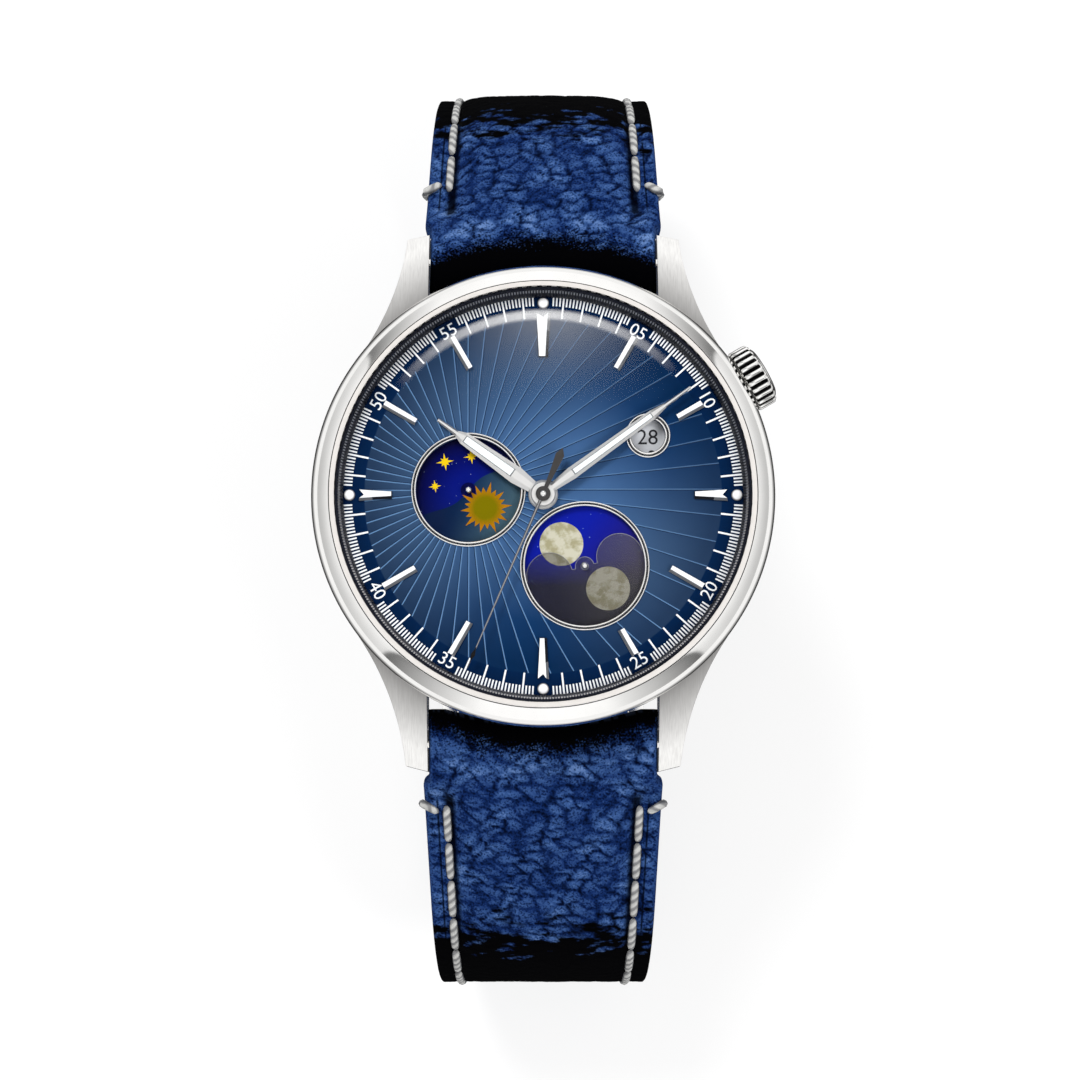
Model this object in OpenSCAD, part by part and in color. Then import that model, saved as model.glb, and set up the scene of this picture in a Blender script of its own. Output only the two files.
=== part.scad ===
// Automatic wristwatch with day and night disc, moon disc and date, buckled on a leather strap.
// Millimetres. +Z points out of the dial and +Y to 12 o'clock. The watch stands on its buckled
// strap at z = 0, with the origin under the middle of the dial.

/* [Case] */
// Height of the case back's outer face above the resting plane
back_z = 34.4; // [32:0.1:40]
// Outer radius of the case body
case_r = 21.2; // [20.8:0.1:23]
// Thickness of the case wall round the movement
case_wall = 2.7; // [2.2:0.1:3.2]
// Thickness of the case wall round the dial
seat_wall = 1.6; // [1.2:0.05:2]
// Gap between the two lugs of a pair
lug_gap = 22; // [20:0.5:23]
// Width of a lug at its tip
lug_tip_w = 2; // [1.6:0.1:2.6]
// Distance from the spring bars to the lug tips
lug_end = 2.6; // [2.2:0.1:3.2]
// Height of the spring bars above the case back
bar_z = 2.6; // [2.4:0.1:3]
// Radius of a spring bar's barrel
bar_r = 0.9; // [0.75:0.05:1]
// Radius of a spring bar's tips
bar_tip_r = 0.45; // [0.35:0.05:0.6]

/* [Bezel and crystal] */
// How far the bezel stands out past the case body
bezel_overhang = 0.67; // [0.3:0.01:1]
// Radius of the bezel's round outer edge
bezel_round_r = 2.45; // [1.6:0.05:3]
// Height of the bezel's top above the crystal's underside
lip_h = 0.15; // [0.1:0.05:0.6]
// Thickness of the crystal at its middle
crystal_t = 1.95; // [1.6:0.05:2.4]
// Radius of the crystal's dome
dome_r = 140; // [120:5:300]
// Thickness of the gasket round the crystal
gasket_t = 0.45; // [0.3:0.05:0.6]

/* [Case back] */
// Thickness of the case back
back_t = 1.7; // [1.5:0.05:1.9]
// Radius of the case back's glass
back_glass_r = 13.4; // [13:0.1:14.5]
// Thickness of the case back's glass
back_glass_t = 0.8; // [0.6:0.05:1]
// Thickness of the gasket round the case back's glass
back_gasket_t = 0.3; // [0.2:0.05:0.4]

/* [Crown] */
// Angle of the crown above 3 o'clock
crown_angle = 30; // [0:1:34]
// Radius of the crown
crown_r = 3.1; // [2.4:0.1:3.2]
// Length of the fluted part of the crown
crown_len = 1.95; // [1.8:0.05:2.6]
// Height of the crown's cap
crown_cap_h = 0.4; // [0.2:0.05:0.6]
// Number of flutes on the crown
crown_flutes = 24; // [18:1:30]
// Radius of the winding stem
stem_r = 0.4; // [0.3:0.05:0.45]

/* [Dial] */
// Thickness of the dial
dial_t = 0.4; // [0.3:0.05:0.5]
// Width of the flange ring round the dial
flange_w = 0.74; // [0.5:0.02:1]
// Width of the minute track between the flange ring and the hour markers
track_w = 1.66; // [1.4:0.02:1.9]
// Height of the hour markers
marker_h = 0.4; // [0.2:0.05:0.5]
// Length of the marker at 12 o'clock
twelve_len = 4.25; // [3:0.05:4.5]
// Gap between the marker at 6 o'clock and the moon window's ring
six_gap = 1.65; // [1:0.05:2.6]
// Length of the markers at 3 and 9 o'clock
quarter_len = 3.12; // [2.4:0.02:3.6]
// Length of the plain markers
baton_len = 3.55; // [2.4:0.05:3.6]
// Gap between the moon window's ring and the short marker beside it
short_baton_gap = 0.58; // [0.4:0.02:1.2]
// Radius of the pearls at the quarter hours
pearl_r = 0.55; // [0.35:0.05:0.6]
// Middle of the day and night window, towards 3 o'clock
sun_x = -7.05; // [-7.3:0.01:-6.8]
// Middle of the day and night window, towards 12 o'clock
sun_y = 0.51; // [0:0.01:1]
// Radius of the day and night window
sun_window_r = 4.95; // [4.4:0.05:5]
// Middle of the moon window, towards 3 o'clock
moon_x = 3.92; // [3.7:0.01:4.2]
// Middle of the moon window, towards 12 o'clock
moon_y = -6.68; // [-6.9:0.01:-6.6]
// Radius of the moon window
moon_window_r = 5.64; // [5.2:0.02:5.7]
// Width of the ring round each of those windows
window_ring_w = 0.48; // [0.3:0.02:0.5]
// Distance of the date window from the middle of the dial
date_r = 11.4; // [11.2:0.05:11.6]
// Direction of the date window, from 3 o'clock
date_angle = 29.7; // [20:0.1:40]
// Radius of the date window
date_window_r = 1.62; // [1.4:0.02:1.66]
// Width of the ring round the date window
date_ring_w = 0.51; // [0.3:0.01:0.6]

/* [Hands] */
// Length of the hour hand
hour_hand_len = 12.2; // [10.5:0.1:14]
// Gap between the minute hand's tip and the flange ring
minute_hand_gap = 1.66; // [0.6:0.02:3]
// Gap between the seconds hand's tip and the flange ring
seconds_hand_gap = 1.06; // [0.4:0.02:2]
// Direction of the hour hand, clockwise from 12
hour_dir = 305.5; // [0:0.5:360]
// Direction of the minute hand, clockwise from 12
minute_dir = 53.9; // [0:0.1:360]
// Direction of the seconds hand, clockwise from 12
seconds_dir = 203.4; // [0:0.1:360]
// Thickness of the hour and minute hands
hand_t = 0.2; // [0.15:0.01:0.3]

/* [Movement] */
// Radius of the movement
move_r = 12.6; // [12.5:0.05:12.9]
// Thickness of the bridges
bridge_t = 0.85; // [0.7:0.05:1.2]
// Thickness of the mainplate
plate_t = 1; // [0.9:0.05:1.4]
// Radius of the barrel's drum
barrel_r = 4.7; // [4.2:0.05:4.85]
// Height of the barrel
barrel_h = 1.2; // [1:0.05:1.5]
// Radius of the balance wheel
balance_r = 3.6; // [3:0.1:3.8]
// Thickness of a wheel
wheel_t = 0.18; // [0.14:0.01:0.2]
// Radius of the pivots
pivot_r = 0.12; // [0.08:0.01:0.15]
// Outer radius of the rotor
rotor_r = 12.3; // [11.5:0.1:12.6]
// Height of the rotor's heavy rim
rim_t = 1.1; // [0.9:0.05:1.2]

/* [Strap] */
// Width of the strap past the lugs
strap_w = 22.7; // [21:0.1:24]
// Width of the strap at the buckle
tail_w = 18; // [16:0.1:20]
// Distance over which the strap narrows
taper_len = 60; // [50:1:66]
// Thickness of the strap's edges
edge_t = 2.2; // [1.8:0.05:2.4]
// Height of the padding above the edges at the lugs
pad_h = 1.5; // [0.8:0.1:1.8]
// Distance over which the padding thins out
pad_len = 56; // [30:1:58]
// Radius of the strap's rolled ends at the lugs
roll_r = 1.95; // [1.7:0.05:2.1]
// How far the strap's outer face stands out at 12 o'clock
reach_12 = 43.5; // [40:0.5:46]
// How far the strap's outer face stands out at 6 o'clock
reach_6 = 47; // [44:0.5:50]
// Slope of the strap where it leaves the lugs, in degrees below level
strap_slope = 25; // [20:1:30]
// Radius of the strap's upper bend
upper_bend_r = 14; // [11:0.5:15]
// Radius of the strap's lower bend
lower_bend_r = 13; // [10:0.5:14]
// Distance of the buckle's pin past the middle, towards 6 o'clock
pin_y = 8; // [7:0.5:9]
// Distance of the strap's tip past the middle, towards 12 o'clock
tip_y = 24; // [18:0.5:27]
// Spacing of the holes in the strap
hole_step = 6.5; // [6:0.1:7.5]

/* [Buckle and keepers] */
// Length of the buckle's frame, from its pin to its front bar
buckle_len = 12; // [10:0.5:13]
// Width of the buckle's arms
buckle_arm_w = 1.5; // [1.2:0.1:2]
// Thickness of the buckle's front bar
front_bar_h = 1.4; // [1.2:0.05:1.6]
// Radius of the buckle's pin
pin_r = 0.75; // [0.6:0.05:0.85]
// Width of a keeper along the strap
keeper_w = 5.2; // [3.5:0.1:6]
// Thickness of a keeper
keeper_t = 1.4; // [1:0.05:1.6]
// Distance of the free keeper from the middle, towards 12 o'clock
keeper_y = 11; // [10:0.5:13]

/* [Hidden] */
$fn = 64;
// Overlap that joins two shapes of one piece, and the reach of a cut past a face
eps = 0.01;
through = 30;

// Clearances
slide_gap = 0.05;
seat_gap = 0.05;
pivot_gap = 0.03;
run_gap = 0.1;
layer_gap = 0.2;

// Heights above the case back: the self-winding work
back_lip = 0.3;
rotor_low = back_lip + back_glass_t + 2 * run_gap;
web_z = rotor_low + 0.45;
web_t = 0.25;
wind_z1 = web_z + web_t + 0.25;
wind_z2 = wind_z1 + wheel_t + run_gap;
wind_z3 = wind_z2 + wheel_t + run_gap;
bridge_z = wind_z3 + wheel_t + run_gap;

// Heights between the bridges and the mainplate
train_z = bridge_z + bridge_t;
hairspring_z = train_z + 0.12;
barrel_z = train_z + 0.15;
balance_z = train_z + 0.4;
balance_t = 0.4;
third_z = train_z + 0.65;
pallet_cock_z = balance_z + balance_t + 0.15;
pallet_cock_t = 0.3;
escape_z = pallet_cock_z + pallet_cock_t + 0.15;
second_z = max(barrel_z + barrel_h + run_gap, escape_z + 0.05);
fourth_z = second_z + wheel_t + 0.12;
plate_z = fourth_z + wheel_t + 0.12;
plate_top = plate_z + plate_t;
stem_z = plate_z + plate_t / 2;

// Heights of the motion work and the discs, up to the dial
minute_gear_z = plate_top + run_gap;
hour_gear_z = minute_gear_z + 2 * wheel_t;
date_z = hour_gear_z + 2 * wheel_t;
date_t = 0.15;
disc_gear_z = date_z + date_t + run_gap;
disc_gear_t = 0.14;
disc_z = disc_gear_z + disc_gear_t + run_gap;
disc_t = 0.15;
mask_z = disc_z + disc_t + run_gap;
mask_t = 0.08;
dial_z = mask_z + mask_t;
dial_top = dial_z + dial_t;
seat_depth = 0.3;
case_h = dial_z + seat_depth;

// Heights of the hands and the crystal
hour_hand_z = dial_top + marker_h + run_gap;
minute_hand_z = hour_hand_z + hand_t + 0.3;
seconds_hand_z = minute_hand_z + hand_t + 0.22;
seconds_t = 0.12;
seconds_pin_top = seconds_hand_z + seconds_t + 0.08;
crystal_z = seconds_pin_top + 0.23;
bezel_top = crystal_z + lip_h;

// Radii of the case, from the outside in
bezel_r = case_r + bezel_overhang;
case_bore_r = case_r - case_wall;
dial_seat_r = case_r - seat_wall;
back_r = case_bore_r - 2 * seat_gap;
dial_r = dial_seat_r - 2 * seat_gap;
flange_r = dial_seat_r - flange_w;
marker_out = flange_r - track_w;

// Places of the strap's bars, the lugs and the crown
roll_gap = 0.15;
bar_y = case_r + roll_gap + roll_r;
lug_reach = bar_y + lug_end;
crown_gap = 0.18;
crown_x = bezel_r + crown_gap;
tube_r = 1.1;

// Tubes and arbors at the middle of the dial
arbor_r = 0.16;
cannon_bore_r = arbor_r + slide_gap;
cannon_r = 0.45;
hour_bore_r = cannon_r + slide_gap;
hour_tube_r = 0.8;
dial_hole_r = 1;

// Tooth counts and modules of the going train
fourth_teeth = 80;
escape_pinion_teeth = 8;
escape_module = 0.08;
third_teeth = 75;
fourth_pinion_teeth = 10;
third_module = 0.085;
second_teeth = 80;
third_pinion_teeth = 10;
second_module = 0.1;
barrel_teeth = 84;
second_pinion_teeth = 12;
barrel_module = 0.12;
pinion_h = 0.25;

// Tooth counts and modules of the motion work and the discs
cannon_teeth = 10;
minute_teeth = 30;
minute_pinion_teeth = 8;
hour_teeth = 32;
motion_module = 0.135;
setting_teeth = 16;
day_teeth = 64;
moon_teeth = 118;
moon_gear_r = 5.05;
date_teeth = 31;

// Tooth counts and modules of the self-winding work
rotor_teeth = 24;
reverser_teeth = 36;
reverser_module = 0.11;
reverser_pinion_teeth = 8;
reduction_teeth = 56;
reduction_module = 0.08;
reduction_pinion_teeth = 8;
ratchet_teeth = 60;
ratchet_module = 0.1;

// Distance between the centres of two gears in mesh
function mesh_distance(a, b, m) = m * (a + b) / 2;
// Point at a radius and an angle
function polar(r, a) = [r * cos(a), r * sin(a)];
// Direction from one point to another
function direction(p, q) = atan2(q[1] - p[1], q[0] - p[0]);
// Point at distance a from p and b from q, to the left of the way from p to q where s is 1
function meeting(p, a, q, b, s) =
    let (d = norm(q - p), c = (a * a - b * b + d * d) / (2 * d))
    p + polar(a, direction(p, q) + s * acos(c / a));
// First tooth of a wheel at q that meshes with the wheel at p, whose first tooth is known
function meshing(teeth, first, p, q, other) =
    let (way = direction(p, q), off = (way - first) * teeth / 360)
    way + 180 + (180 + (off - round(off)) * 360) / other;

// Places of the arbors, seen with the crown at 3 o'clock
setting_r = 4.6;
second_r = 5.2;
barrel_centre_r = 6.9;
balance_centre_r = 8.2;
pallet_step = 2.45;
pallet_foot_r = 2.3;
escape_turn = 72;
balance_turn = 10;
reverser_angle = 145;
centre_at = [0, 0];
motion_distance = mesh_distance(cannon_teeth, minute_teeth, motion_module);
setting_at = [setting_r, 0];
minute_at = meeting(centre_at, motion_distance,
    setting_at, mesh_distance(setting_teeth, minute_teeth, motion_module), 1);
second_at = meeting(centre_at, second_r, minute_at, motion_distance, 1);
third_at = meeting(centre_at, mesh_distance(third_teeth, fourth_pinion_teeth, third_module),
    second_at, mesh_distance(second_teeth, third_pinion_teeth, second_module), -1);
barrel_at = meeting(centre_at, barrel_centre_r,
    second_at, mesh_distance(barrel_teeth, second_pinion_teeth, barrel_module), 1);
escape_at = polar(mesh_distance(fourth_teeth, escape_pinion_teeth, escape_module),
    direction(centre_at, third_at) - escape_turn);
balance_at = polar(balance_centre_r, direction(centre_at, escape_at) + balance_turn);
fork_way = direction(escape_at, balance_at);
pallet_at = escape_at + polar(pallet_step, fork_way);
pallet_feet = [for (s = [-1, 1]) pallet_at + polar(pallet_foot_r, fork_way + s * 90)];
reverser_at = polar(mesh_distance(rotor_teeth, reverser_teeth, reverser_module), reverser_angle);
reduction_at = meeting(reverser_at,
    mesh_distance(reverser_pinion_teeth, reduction_teeth, reduction_module),
    barrel_at, mesh_distance(reduction_pinion_teeth, ratchet_teeth, ratchet_module), 1);

// Places of the windows, seen with 12 o'clock at the top
sun_pos = [sun_x, sun_y];
moon_pos = [moon_x, moon_y];
date_pos = polar(date_r, date_angle);
day_module = 2 * norm(sun_pos) / (hour_teeth + day_teeth);

// Markers beside the moon window, which end a gap away from its ring
quarter_w = 1.1;
moon_ring_r = moon_window_r + window_ring_w;
six_side = moon_x - quarter_w / 3;
six_len = marker_out - six_gap + moon_y - sqrt(moon_ring_r * moon_ring_r - six_side * six_side);
short_baton_len = marker_out - short_baton_gap - norm(moon_pos) - moon_ring_r;

// Feet and screws of the bridges, on a circle inside the movement's edge
foot_r = 0.75;
foot_circle_r = move_r - 1;
barrel_feet = [for (a = [18, 80, 145, 172]) polar(foot_circle_r, a)];
train_feet = [for (a = [188, 230, 262, -16]) polar(foot_circle_r, a)];
cock_foot_at = polar(move_r - 1.4, -33.4);
cock_w = 2.5;
screw_r = 0.55;
screw_h = 0.3;
small_screw_r = 0.3;
clamp_angles = [49, 209];

// Strap levels at the buckle, from the resting plane up
tail_mid = max(front_bar_h, keeper_t) + layer_gap + edge_t / 2;
short_mid = tail_mid + edge_t + layer_gap;
bar_height = back_z + bar_z;
lug_w = lug_gap - 3 * seat_gap;
eye_r = edge_t / 2 + layer_gap - slide_gap;
tang_w = 1.6;
tang_low = 0.1;
tang_tip_t = 0.7;
tang_gap = 0.4;
used_hole_y = -pin_y - 3.3;
used_hole_len = 3.3;
front_y = -pin_y - buckle_len;
arm_in = tail_w / 2 + layer_gap;
pin_tip_r = 0.4;
pin_end = 0.9;
keeper_top = short_mid + edge_t / 2 + layer_gap;

// A cylinder at a place
module pillar(p, z, r, h) translate([p[0], p[1], z]) cylinder(r = r, h = h);

// A flat tube at a place
module ring(p, z, r_out, r_in, h) translate([p[0], p[1], z]) difference() {
    cylinder(r = r_out, h = h);
    translate([0, 0, -1]) cylinder(r = r_in, h = h + 2);
}

// A cylinder along X through a point of the Y-Z plane
module cross_bar(y, z, r, l) translate([-l / 2, y, z]) rotate([0, 90, 0]) cylinder(r = r, h = l);

// The movement's own frame: the crown's direction is +X, heights are from the case back
module in_movement() rotate([0, 0, crown_angle]) translate([0, 0, back_z]) children();
// The case's frame, with heights from the case back
module in_case() translate([0, 0, back_z]) children();

// Outline of a gear: for each tooth its two roots and two tips
function gear_points(n, m, first) = [for (i = [0 : n - 1])
    for (p = [[-0.28, -1.2], [-0.11, 0.8], [0.11, 0.8], [0.28, -1.2]])
    polar(m * (n / 2 + p[1]), first + (i + p[0]) * 360 / n)];

// A plain gear at a place, with its first tooth in a given direction
module gear(p, z, n, m, h, first) translate([p[0], p[1], z])
    linear_extrude(h) polygon(gear_points(n, m, first));

// A wheel: a gear with round windows between its arms
window_place = 0.54;
window_size = 0.24;
module wheel(p, z, n, m, h, first, windows = 5) difference() {
    gear(p, z, n, m, h, first);
    for (i = [0 : windows - 1])
        pillar(p + polar(window_place * m * n / 2, first + i * 360 / windows), z - 1,
            window_size * m * n / 2, h + 2);
}

// A bar with round ends between two places
module bar_2d(p, q, r) {
    translate(p) circle(r);
    translate(q) circle(r);
    translate(p) rotate(direction(p, q)) translate([0, -r]) square([norm(q - p), 2 * r]);
}

// A rectangle with round corners, centred in X and standing on Y = 0
module rounded(w, h, r) {
    translate([r - w / 2, 0]) square([w - 2 * r, h]);
    translate([-w / 2, r]) square([w, h - 2 * r]);
    for (x = [r - w / 2, w / 2 - r]) for (y = [r, h - r]) translate([x, y]) circle(r);
}

// An arbor between the bridges and the plate, with its two pivots
pivot_len = 0.3;
end_shake = 0.05;
module arbor(p, low, top, r) {
    pillar(p, low, pivot_r, top - low);
    pillar(p, train_z + end_shake, r, plate_z - train_z - 2 * end_shake);
}

// Spiral band with n points a turn
module spiral(p, z, r0, r1, turns, t, h, n = 20) {
    steps = turns * n;
    function at(i, side) = polar(r0 + (r1 - r0) * i / steps + side * t / 2, i * 360 / n);
    translate([p[0], p[1], z]) linear_extrude(h) polygon(concat(
        [for (i = [0 : steps]) at(i, 1)], [for (i = [steps : -1 : 0]) at(i, -1)]));
}

// Lug seen from above: straight inner face, hollow outer face that flares into the case
lug_root_angle = 34.8;
lug_side_r = 25.5;
lug_side_y = 1.7;
lug_tip_slope = 0.25;
module lug_plan() difference() {
    root = polar(case_r, lug_root_angle);
    polygon([[lug_gap / 2, root[1]], root, [root[0], lug_reach - lug_tip_slope *
        (root[0] - lug_gap / 2)], [lug_gap / 2, lug_reach]]);
    translate([lug_gap / 2 + lug_tip_w + lug_side_r, lug_reach + lug_side_y])
        circle(lug_side_r, $fn = 200);
}

// Lug seen from the side: it falls away in an arc towards its tip, over a hollow underside
lug_top_r = 30;
lug_top_run = 16.9;
lug_top_drop = 0.4;
lug_low_r = 24;
lug_low_run = 10.9;
lug_low_z = 0.6;
module lug_side() intersection() {
    translate([lug_reach - lug_top_run, case_h - lug_top_drop - lug_top_r])
        circle(lug_top_r, $fn = 200);
    difference() {
        translate([0, -lug_low_z]) square([lug_reach, case_h + lug_low_z]);
        translate([lug_reach - lug_low_run, lug_low_z - lug_low_r]) circle(lug_low_r, $fn = 200);
    }
}

module lug() intersection() {
    translate([0, 0, -lug_low_z]) linear_extrude(case_h + lug_low_z) lug_plan();
    rotate([90, 0, 90]) linear_extrude(case_r) lug_side();
}

body_z = 0.9;
body_cut = 0.9;
body_cut_h = 1.2;
bar_hole = 1.2;
module case_middle() color("silver") in_case() difference() {
    union() {
        translate([0, 0, body_z]) cylinder(r1 = case_r - body_cut, r2 = case_r, h = body_cut_h);
        translate([0, 0, body_z + body_cut_h - eps])
            cylinder(r = case_r, h = case_h - body_z - body_cut_h + eps);
        for (a = [0, 1]) mirror([a, 0, 0]) for (b = [0, 1]) mirror([0, b, 0]) lug();
    }
    pillar(centre_at, -1, case_bore_r, through);
    pillar(centre_at, dial_z, dial_seat_r, through);
    for (b = [-1, 1]) cross_bar(b * bar_y, bar_z, bar_tip_r + slide_gap, lug_gap + 2 * bar_hole);
    rotate([0, 0, crown_angle]) translate([case_bore_r - 1, 0, stem_z])
        rotate([0, 90, 0]) cylinder(r = tube_r, h = through);
}

// Bezel: a round outer edge between a short wall and a flat top, with a seat for the crystal
bezel_flat = 0.09;
module bezel() color("gainsboro") in_case() rotate_extrude($fn = 128) difference() {
    intersection() {
        translate([dial_seat_r, case_h]) square([bezel_r - dial_seat_r, bezel_top - case_h]);
        translate([bezel_r + bezel_flat - bezel_round_r, bezel_top + bezel_flat - bezel_round_r])
            circle(bezel_round_r, $fn = 96);
    }
    translate([dial_seat_r - 1, crystal_z]) square([1 + gasket_t, 1 + lip_h]);
}

module crystal() color([0.8, 0.9, 1, 0.3]) in_case() intersection() {
    translate([0, 0, crystal_z]) cylinder(r = dial_seat_r, h = 2 * crystal_t, $fn = 128);
    translate([0, 0, crystal_z + crystal_t - dome_r]) sphere(r = dome_r, $fn = 200);
}

// Gaskets of both glasses
crystal_gasket_h = 0.45;
module gaskets() color("white") in_case() {
    ring(centre_at, crystal_z, dial_seat_r + gasket_t, dial_seat_r, crystal_gasket_h);
    ring(centre_at, back_lip, back_glass_r + back_gasket_t, back_glass_r, back_glass_t);
}

// Flange ring: it stands on the dial, leans outwards and holds up the crystal
flange_foot_h = 0.5;
flange_lean = 0.45;
module flange_ring() color("midnightblue") in_case() rotate_extrude() polygon([
    [flange_r, dial_top], [dial_seat_r - seat_gap, dial_top], [dial_seat_r - seat_gap, crystal_z],
    [flange_r + flange_lean, crystal_z], [flange_r, dial_top + flange_foot_h]]);

module dial() color("royalblue") in_case() difference() {
    translate([0, 0, dial_z]) cylinder(r = dial_r, h = dial_t, $fn = 128);
    pillar(centre_at, 0, dial_hole_r, through);
    pillar(sun_pos, 0, sun_window_r, through);
    pillar(moon_pos, 0, moon_window_r, through);
    pillar(date_pos, 0, date_window_r, through);
}

// An hour marker, a prism that narrows towards the middle
module marker(angle, len, w_in, w_out) rotate([0, 0, angle]) translate([marker_out - len, 0, dial_top])
    linear_extrude(marker_h) polygon([[0, -w_in / 2], [len, -w_out / 2], [len, w_out / 2],
        [0, w_in / 2]]);

twelve_w = 1.37;
baton_w = 0.65;
marker_taper = 0.66;
module hour_markers() color("white") in_case() {
    marker(90, twelve_len, marker_taper * twelve_w, twelve_w);
    marker(-90, six_len, marker_taper * quarter_w, quarter_w);
    for (a = [0, 180]) marker(a, quarter_len, marker_taper * quarter_w, quarter_w);
    for (a = [60, 120, 150, 210, 240, 330]) marker(a, baton_len, baton_w, baton_w);
    for (a = [30, 300]) marker(a, short_baton_len, baton_w, baton_w);
}

module marker_pearls() color("white") in_case() for (a = [0 : 90 : 270])
    pillar(polar(flange_r - pivot_gap - pearl_r, a), dial_top, pearl_r, marker_h);

window_ring_h = 0.2;
module window_ring(p, r, w) color("silver") in_case() ring(p, dial_top, r + w, r, window_ring_h);
module sun_window_ring() window_ring(sun_pos, sun_window_r, window_ring_w);
module moon_window_ring() window_ring(moon_pos, moon_window_r, window_ring_w);
module date_window_ring() window_ring(date_pos, date_window_r, date_ring_w);

// Smoked mask under the moon window: a half disc with a hump for each moon
mask_turn = 15.5;
mask_lap = 0.2;
hump_x = 3.42;
hump_r = 2.2;
boss_r = 0.9;
disc_pin_r = 0.28;
module moon_mask() color([0.2, 0.2, 0.22, 0.8]) in_case()
    translate([moon_x, moon_y, mask_z]) linear_extrude(mask_t) rotate(mask_turn)
    difference() {
        union() {
            intersection() {
                circle(moon_window_r + mask_lap);
                translate([-through, -2 * through]) square(2 * through);
            }
            for (s = [-1, 1]) translate([s * hump_x, 0]) circle(hump_r);
            circle(boss_r);
        }
        circle(disc_pin_r + slide_gap);
    }

// Case back: a rim with six key slots round a glass
back_edge = 0.6;
key_slot_r = 0.6;
key_slot_in = 1.6;
module case_back() color("silver") in_case() difference() {
    union() {
        cylinder(r1 = back_r - back_edge, r2 = back_r, h = back_edge);
        pillar(centre_at, back_edge - eps, back_r, back_t - back_edge + eps);
    }
    pillar(centre_at, -1, back_glass_r - 2 * back_gasket_t, through);
    pillar(centre_at, back_lip, back_glass_r + back_gasket_t, through);
    for (a = [0 : 60 : 300]) pillar(polar(back_r - key_slot_in, a), -1, key_slot_r, 1 + key_slot_r);
}

module case_back_crystal() color([0.8, 0.9, 1, 0.3]) in_case()
    pillar(centre_at, back_lip, back_glass_r, back_glass_t);

tube_end = 0.9;
module crown_tube() color("silver") in_movement() translate([0, 0, stem_z]) rotate([0, 90, 0])
    ring(centre_at, case_bore_r + seat_gap, tube_r, stem_r + slide_gap,
        crown_x + tube_end - case_bore_r - seat_gap);

// Holder between the movement and the case, stepped for the date ring and the discs
date_room_r = 14;
disc_room_r = 16;
clamp_len = 3.2;
clamp_w = 2.4;
clamp_t = 0.35;
module movement_holder() color("dimgray") in_movement() difference() {
    pillar(centre_at, back_t + seat_gap, case_bore_r - seat_gap, dial_z - back_t - 2 * seat_gap);
    pillar(centre_at, 0, move_r, through);
    pillar(centre_at, plate_top, date_room_r, through);
    pillar(centre_at, disc_gear_z - run_gap, disc_room_r, through);
    translate([move_r - 1, 0, stem_z]) rotate([0, 90, 0])
        cylinder(r = stem_r + layer_gap, h = through);
    for (a = clamp_angles) rotate([0, 0, a]) translate([move_r - 1, -clamp_w / 2 - layer_gap, 0])
        cube([1 + clamp_len / 2 + layer_gap, clamp_w + 2 * layer_gap, bridge_z]);
}

// Clamps on the bridges' underside that reach over a step in the holder, each with its screw
module clamp_shape(gap) {
    pillar(polar(foot_circle_r, 0), bridge_z - eps, small_screw_r + gap, 0.5 + gap);
}
module casing_clamps() color("silver") in_movement() for (a = clamp_angles) rotate([0, 0, a])
    difference() {
        union() {
            translate([move_r - clamp_len / 2, -clamp_w / 2, bridge_z - clamp_t])
                cube([clamp_len, clamp_w, clamp_t]);
            pillar([foot_circle_r, 0], bridge_z - clamp_t - screw_h / 2, screw_r, screw_h);
            clamp_shape(0);
        }
        translate([foot_circle_r - 1, -0.08, bridge_z - clamp_t - screw_h]) cube([2, 0.16, 0.25]);
    }

jewel_r = 0.5;
jewel_t = 0.35;
barrel_arbor_r = 0.6;
sliding_r = 0.85;
sliding_len = 1.6;
sliding_x = 6.25;
stem_boss_x = 8.3;
stem_boss_w = 2;
stem_boss_h = 0.35;
post_r = 0.5;
edge_w = 0.6;
module mainplate() color("goldenrod") in_movement() difference() {
    union() {
        pillar(centre_at, plate_z, move_r - slide_gap, plate_t);
        ring(centre_at, plate_top - eps, move_r - slide_gap, move_r - edge_w,
            date_z - plate_top + eps - slide_gap);
        translate([stem_boss_x, -stem_boss_w / 2, plate_z - stem_boss_h])
            cube([move_r - edge_w - stem_boss_x, stem_boss_w, plate_t + 2 * stem_boss_h]);
        rotate([0, 0, -crown_angle]) for (p = [sun_pos, moon_pos])
            pillar(p, plate_top - eps, post_r, date_z - plate_top - 2 * run_gap);
    }
    for (p = [second_at, third_at, escape_at, balance_at, centre_at, pallet_at])
        pillar(p, plate_z - 1, jewel_r, through);
    pillar(barrel_at, plate_z - 1, barrel_arbor_r + slide_gap, through);
    for (p = [minute_at, setting_at]) pillar(p, plate_top - 0.6, pivot_r + pivot_gap, through);
    rotate([0, 0, -crown_angle]) for (p = [sun_pos, moon_pos])
        pillar(p, plate_top - pivot_len, pivot_r + pivot_gap, through);
    translate([sliding_x - 0.5, 0, stem_z]) rotate([0, 90, 0])
        cylinder(r = stem_r + slide_gap, h = through);
    translate([sliding_x - 0.15, -sliding_r - 0.25, plate_z - 1])
        cube([sliding_len + 0.3, 2 * sliding_r + 0.5, through]);
}

// Barrel bridge and train bridge: two halves of one disc with a slot between them
bridge_edge = 0.1;
bridge_split = 1.15;
split_gap = 0.3;
module bridge_half(y) translate([0, 0, bridge_z]) linear_extrude(bridge_t) intersection() {
    circle(move_r - bridge_edge);
    translate([-through, y]) square([2 * through, through]);
}
module feet(list) for (p = list) pillar(p, train_z - eps, foot_r, plate_z - train_z + eps);
module screw_seats(list) for (p = list) pillar(p, bridge_z - 1, screw_r, 1 + screw_h);
module clamp_holes() for (a = clamp_angles) rotate([0, 0, a]) clamp_shape(slide_gap);

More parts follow.
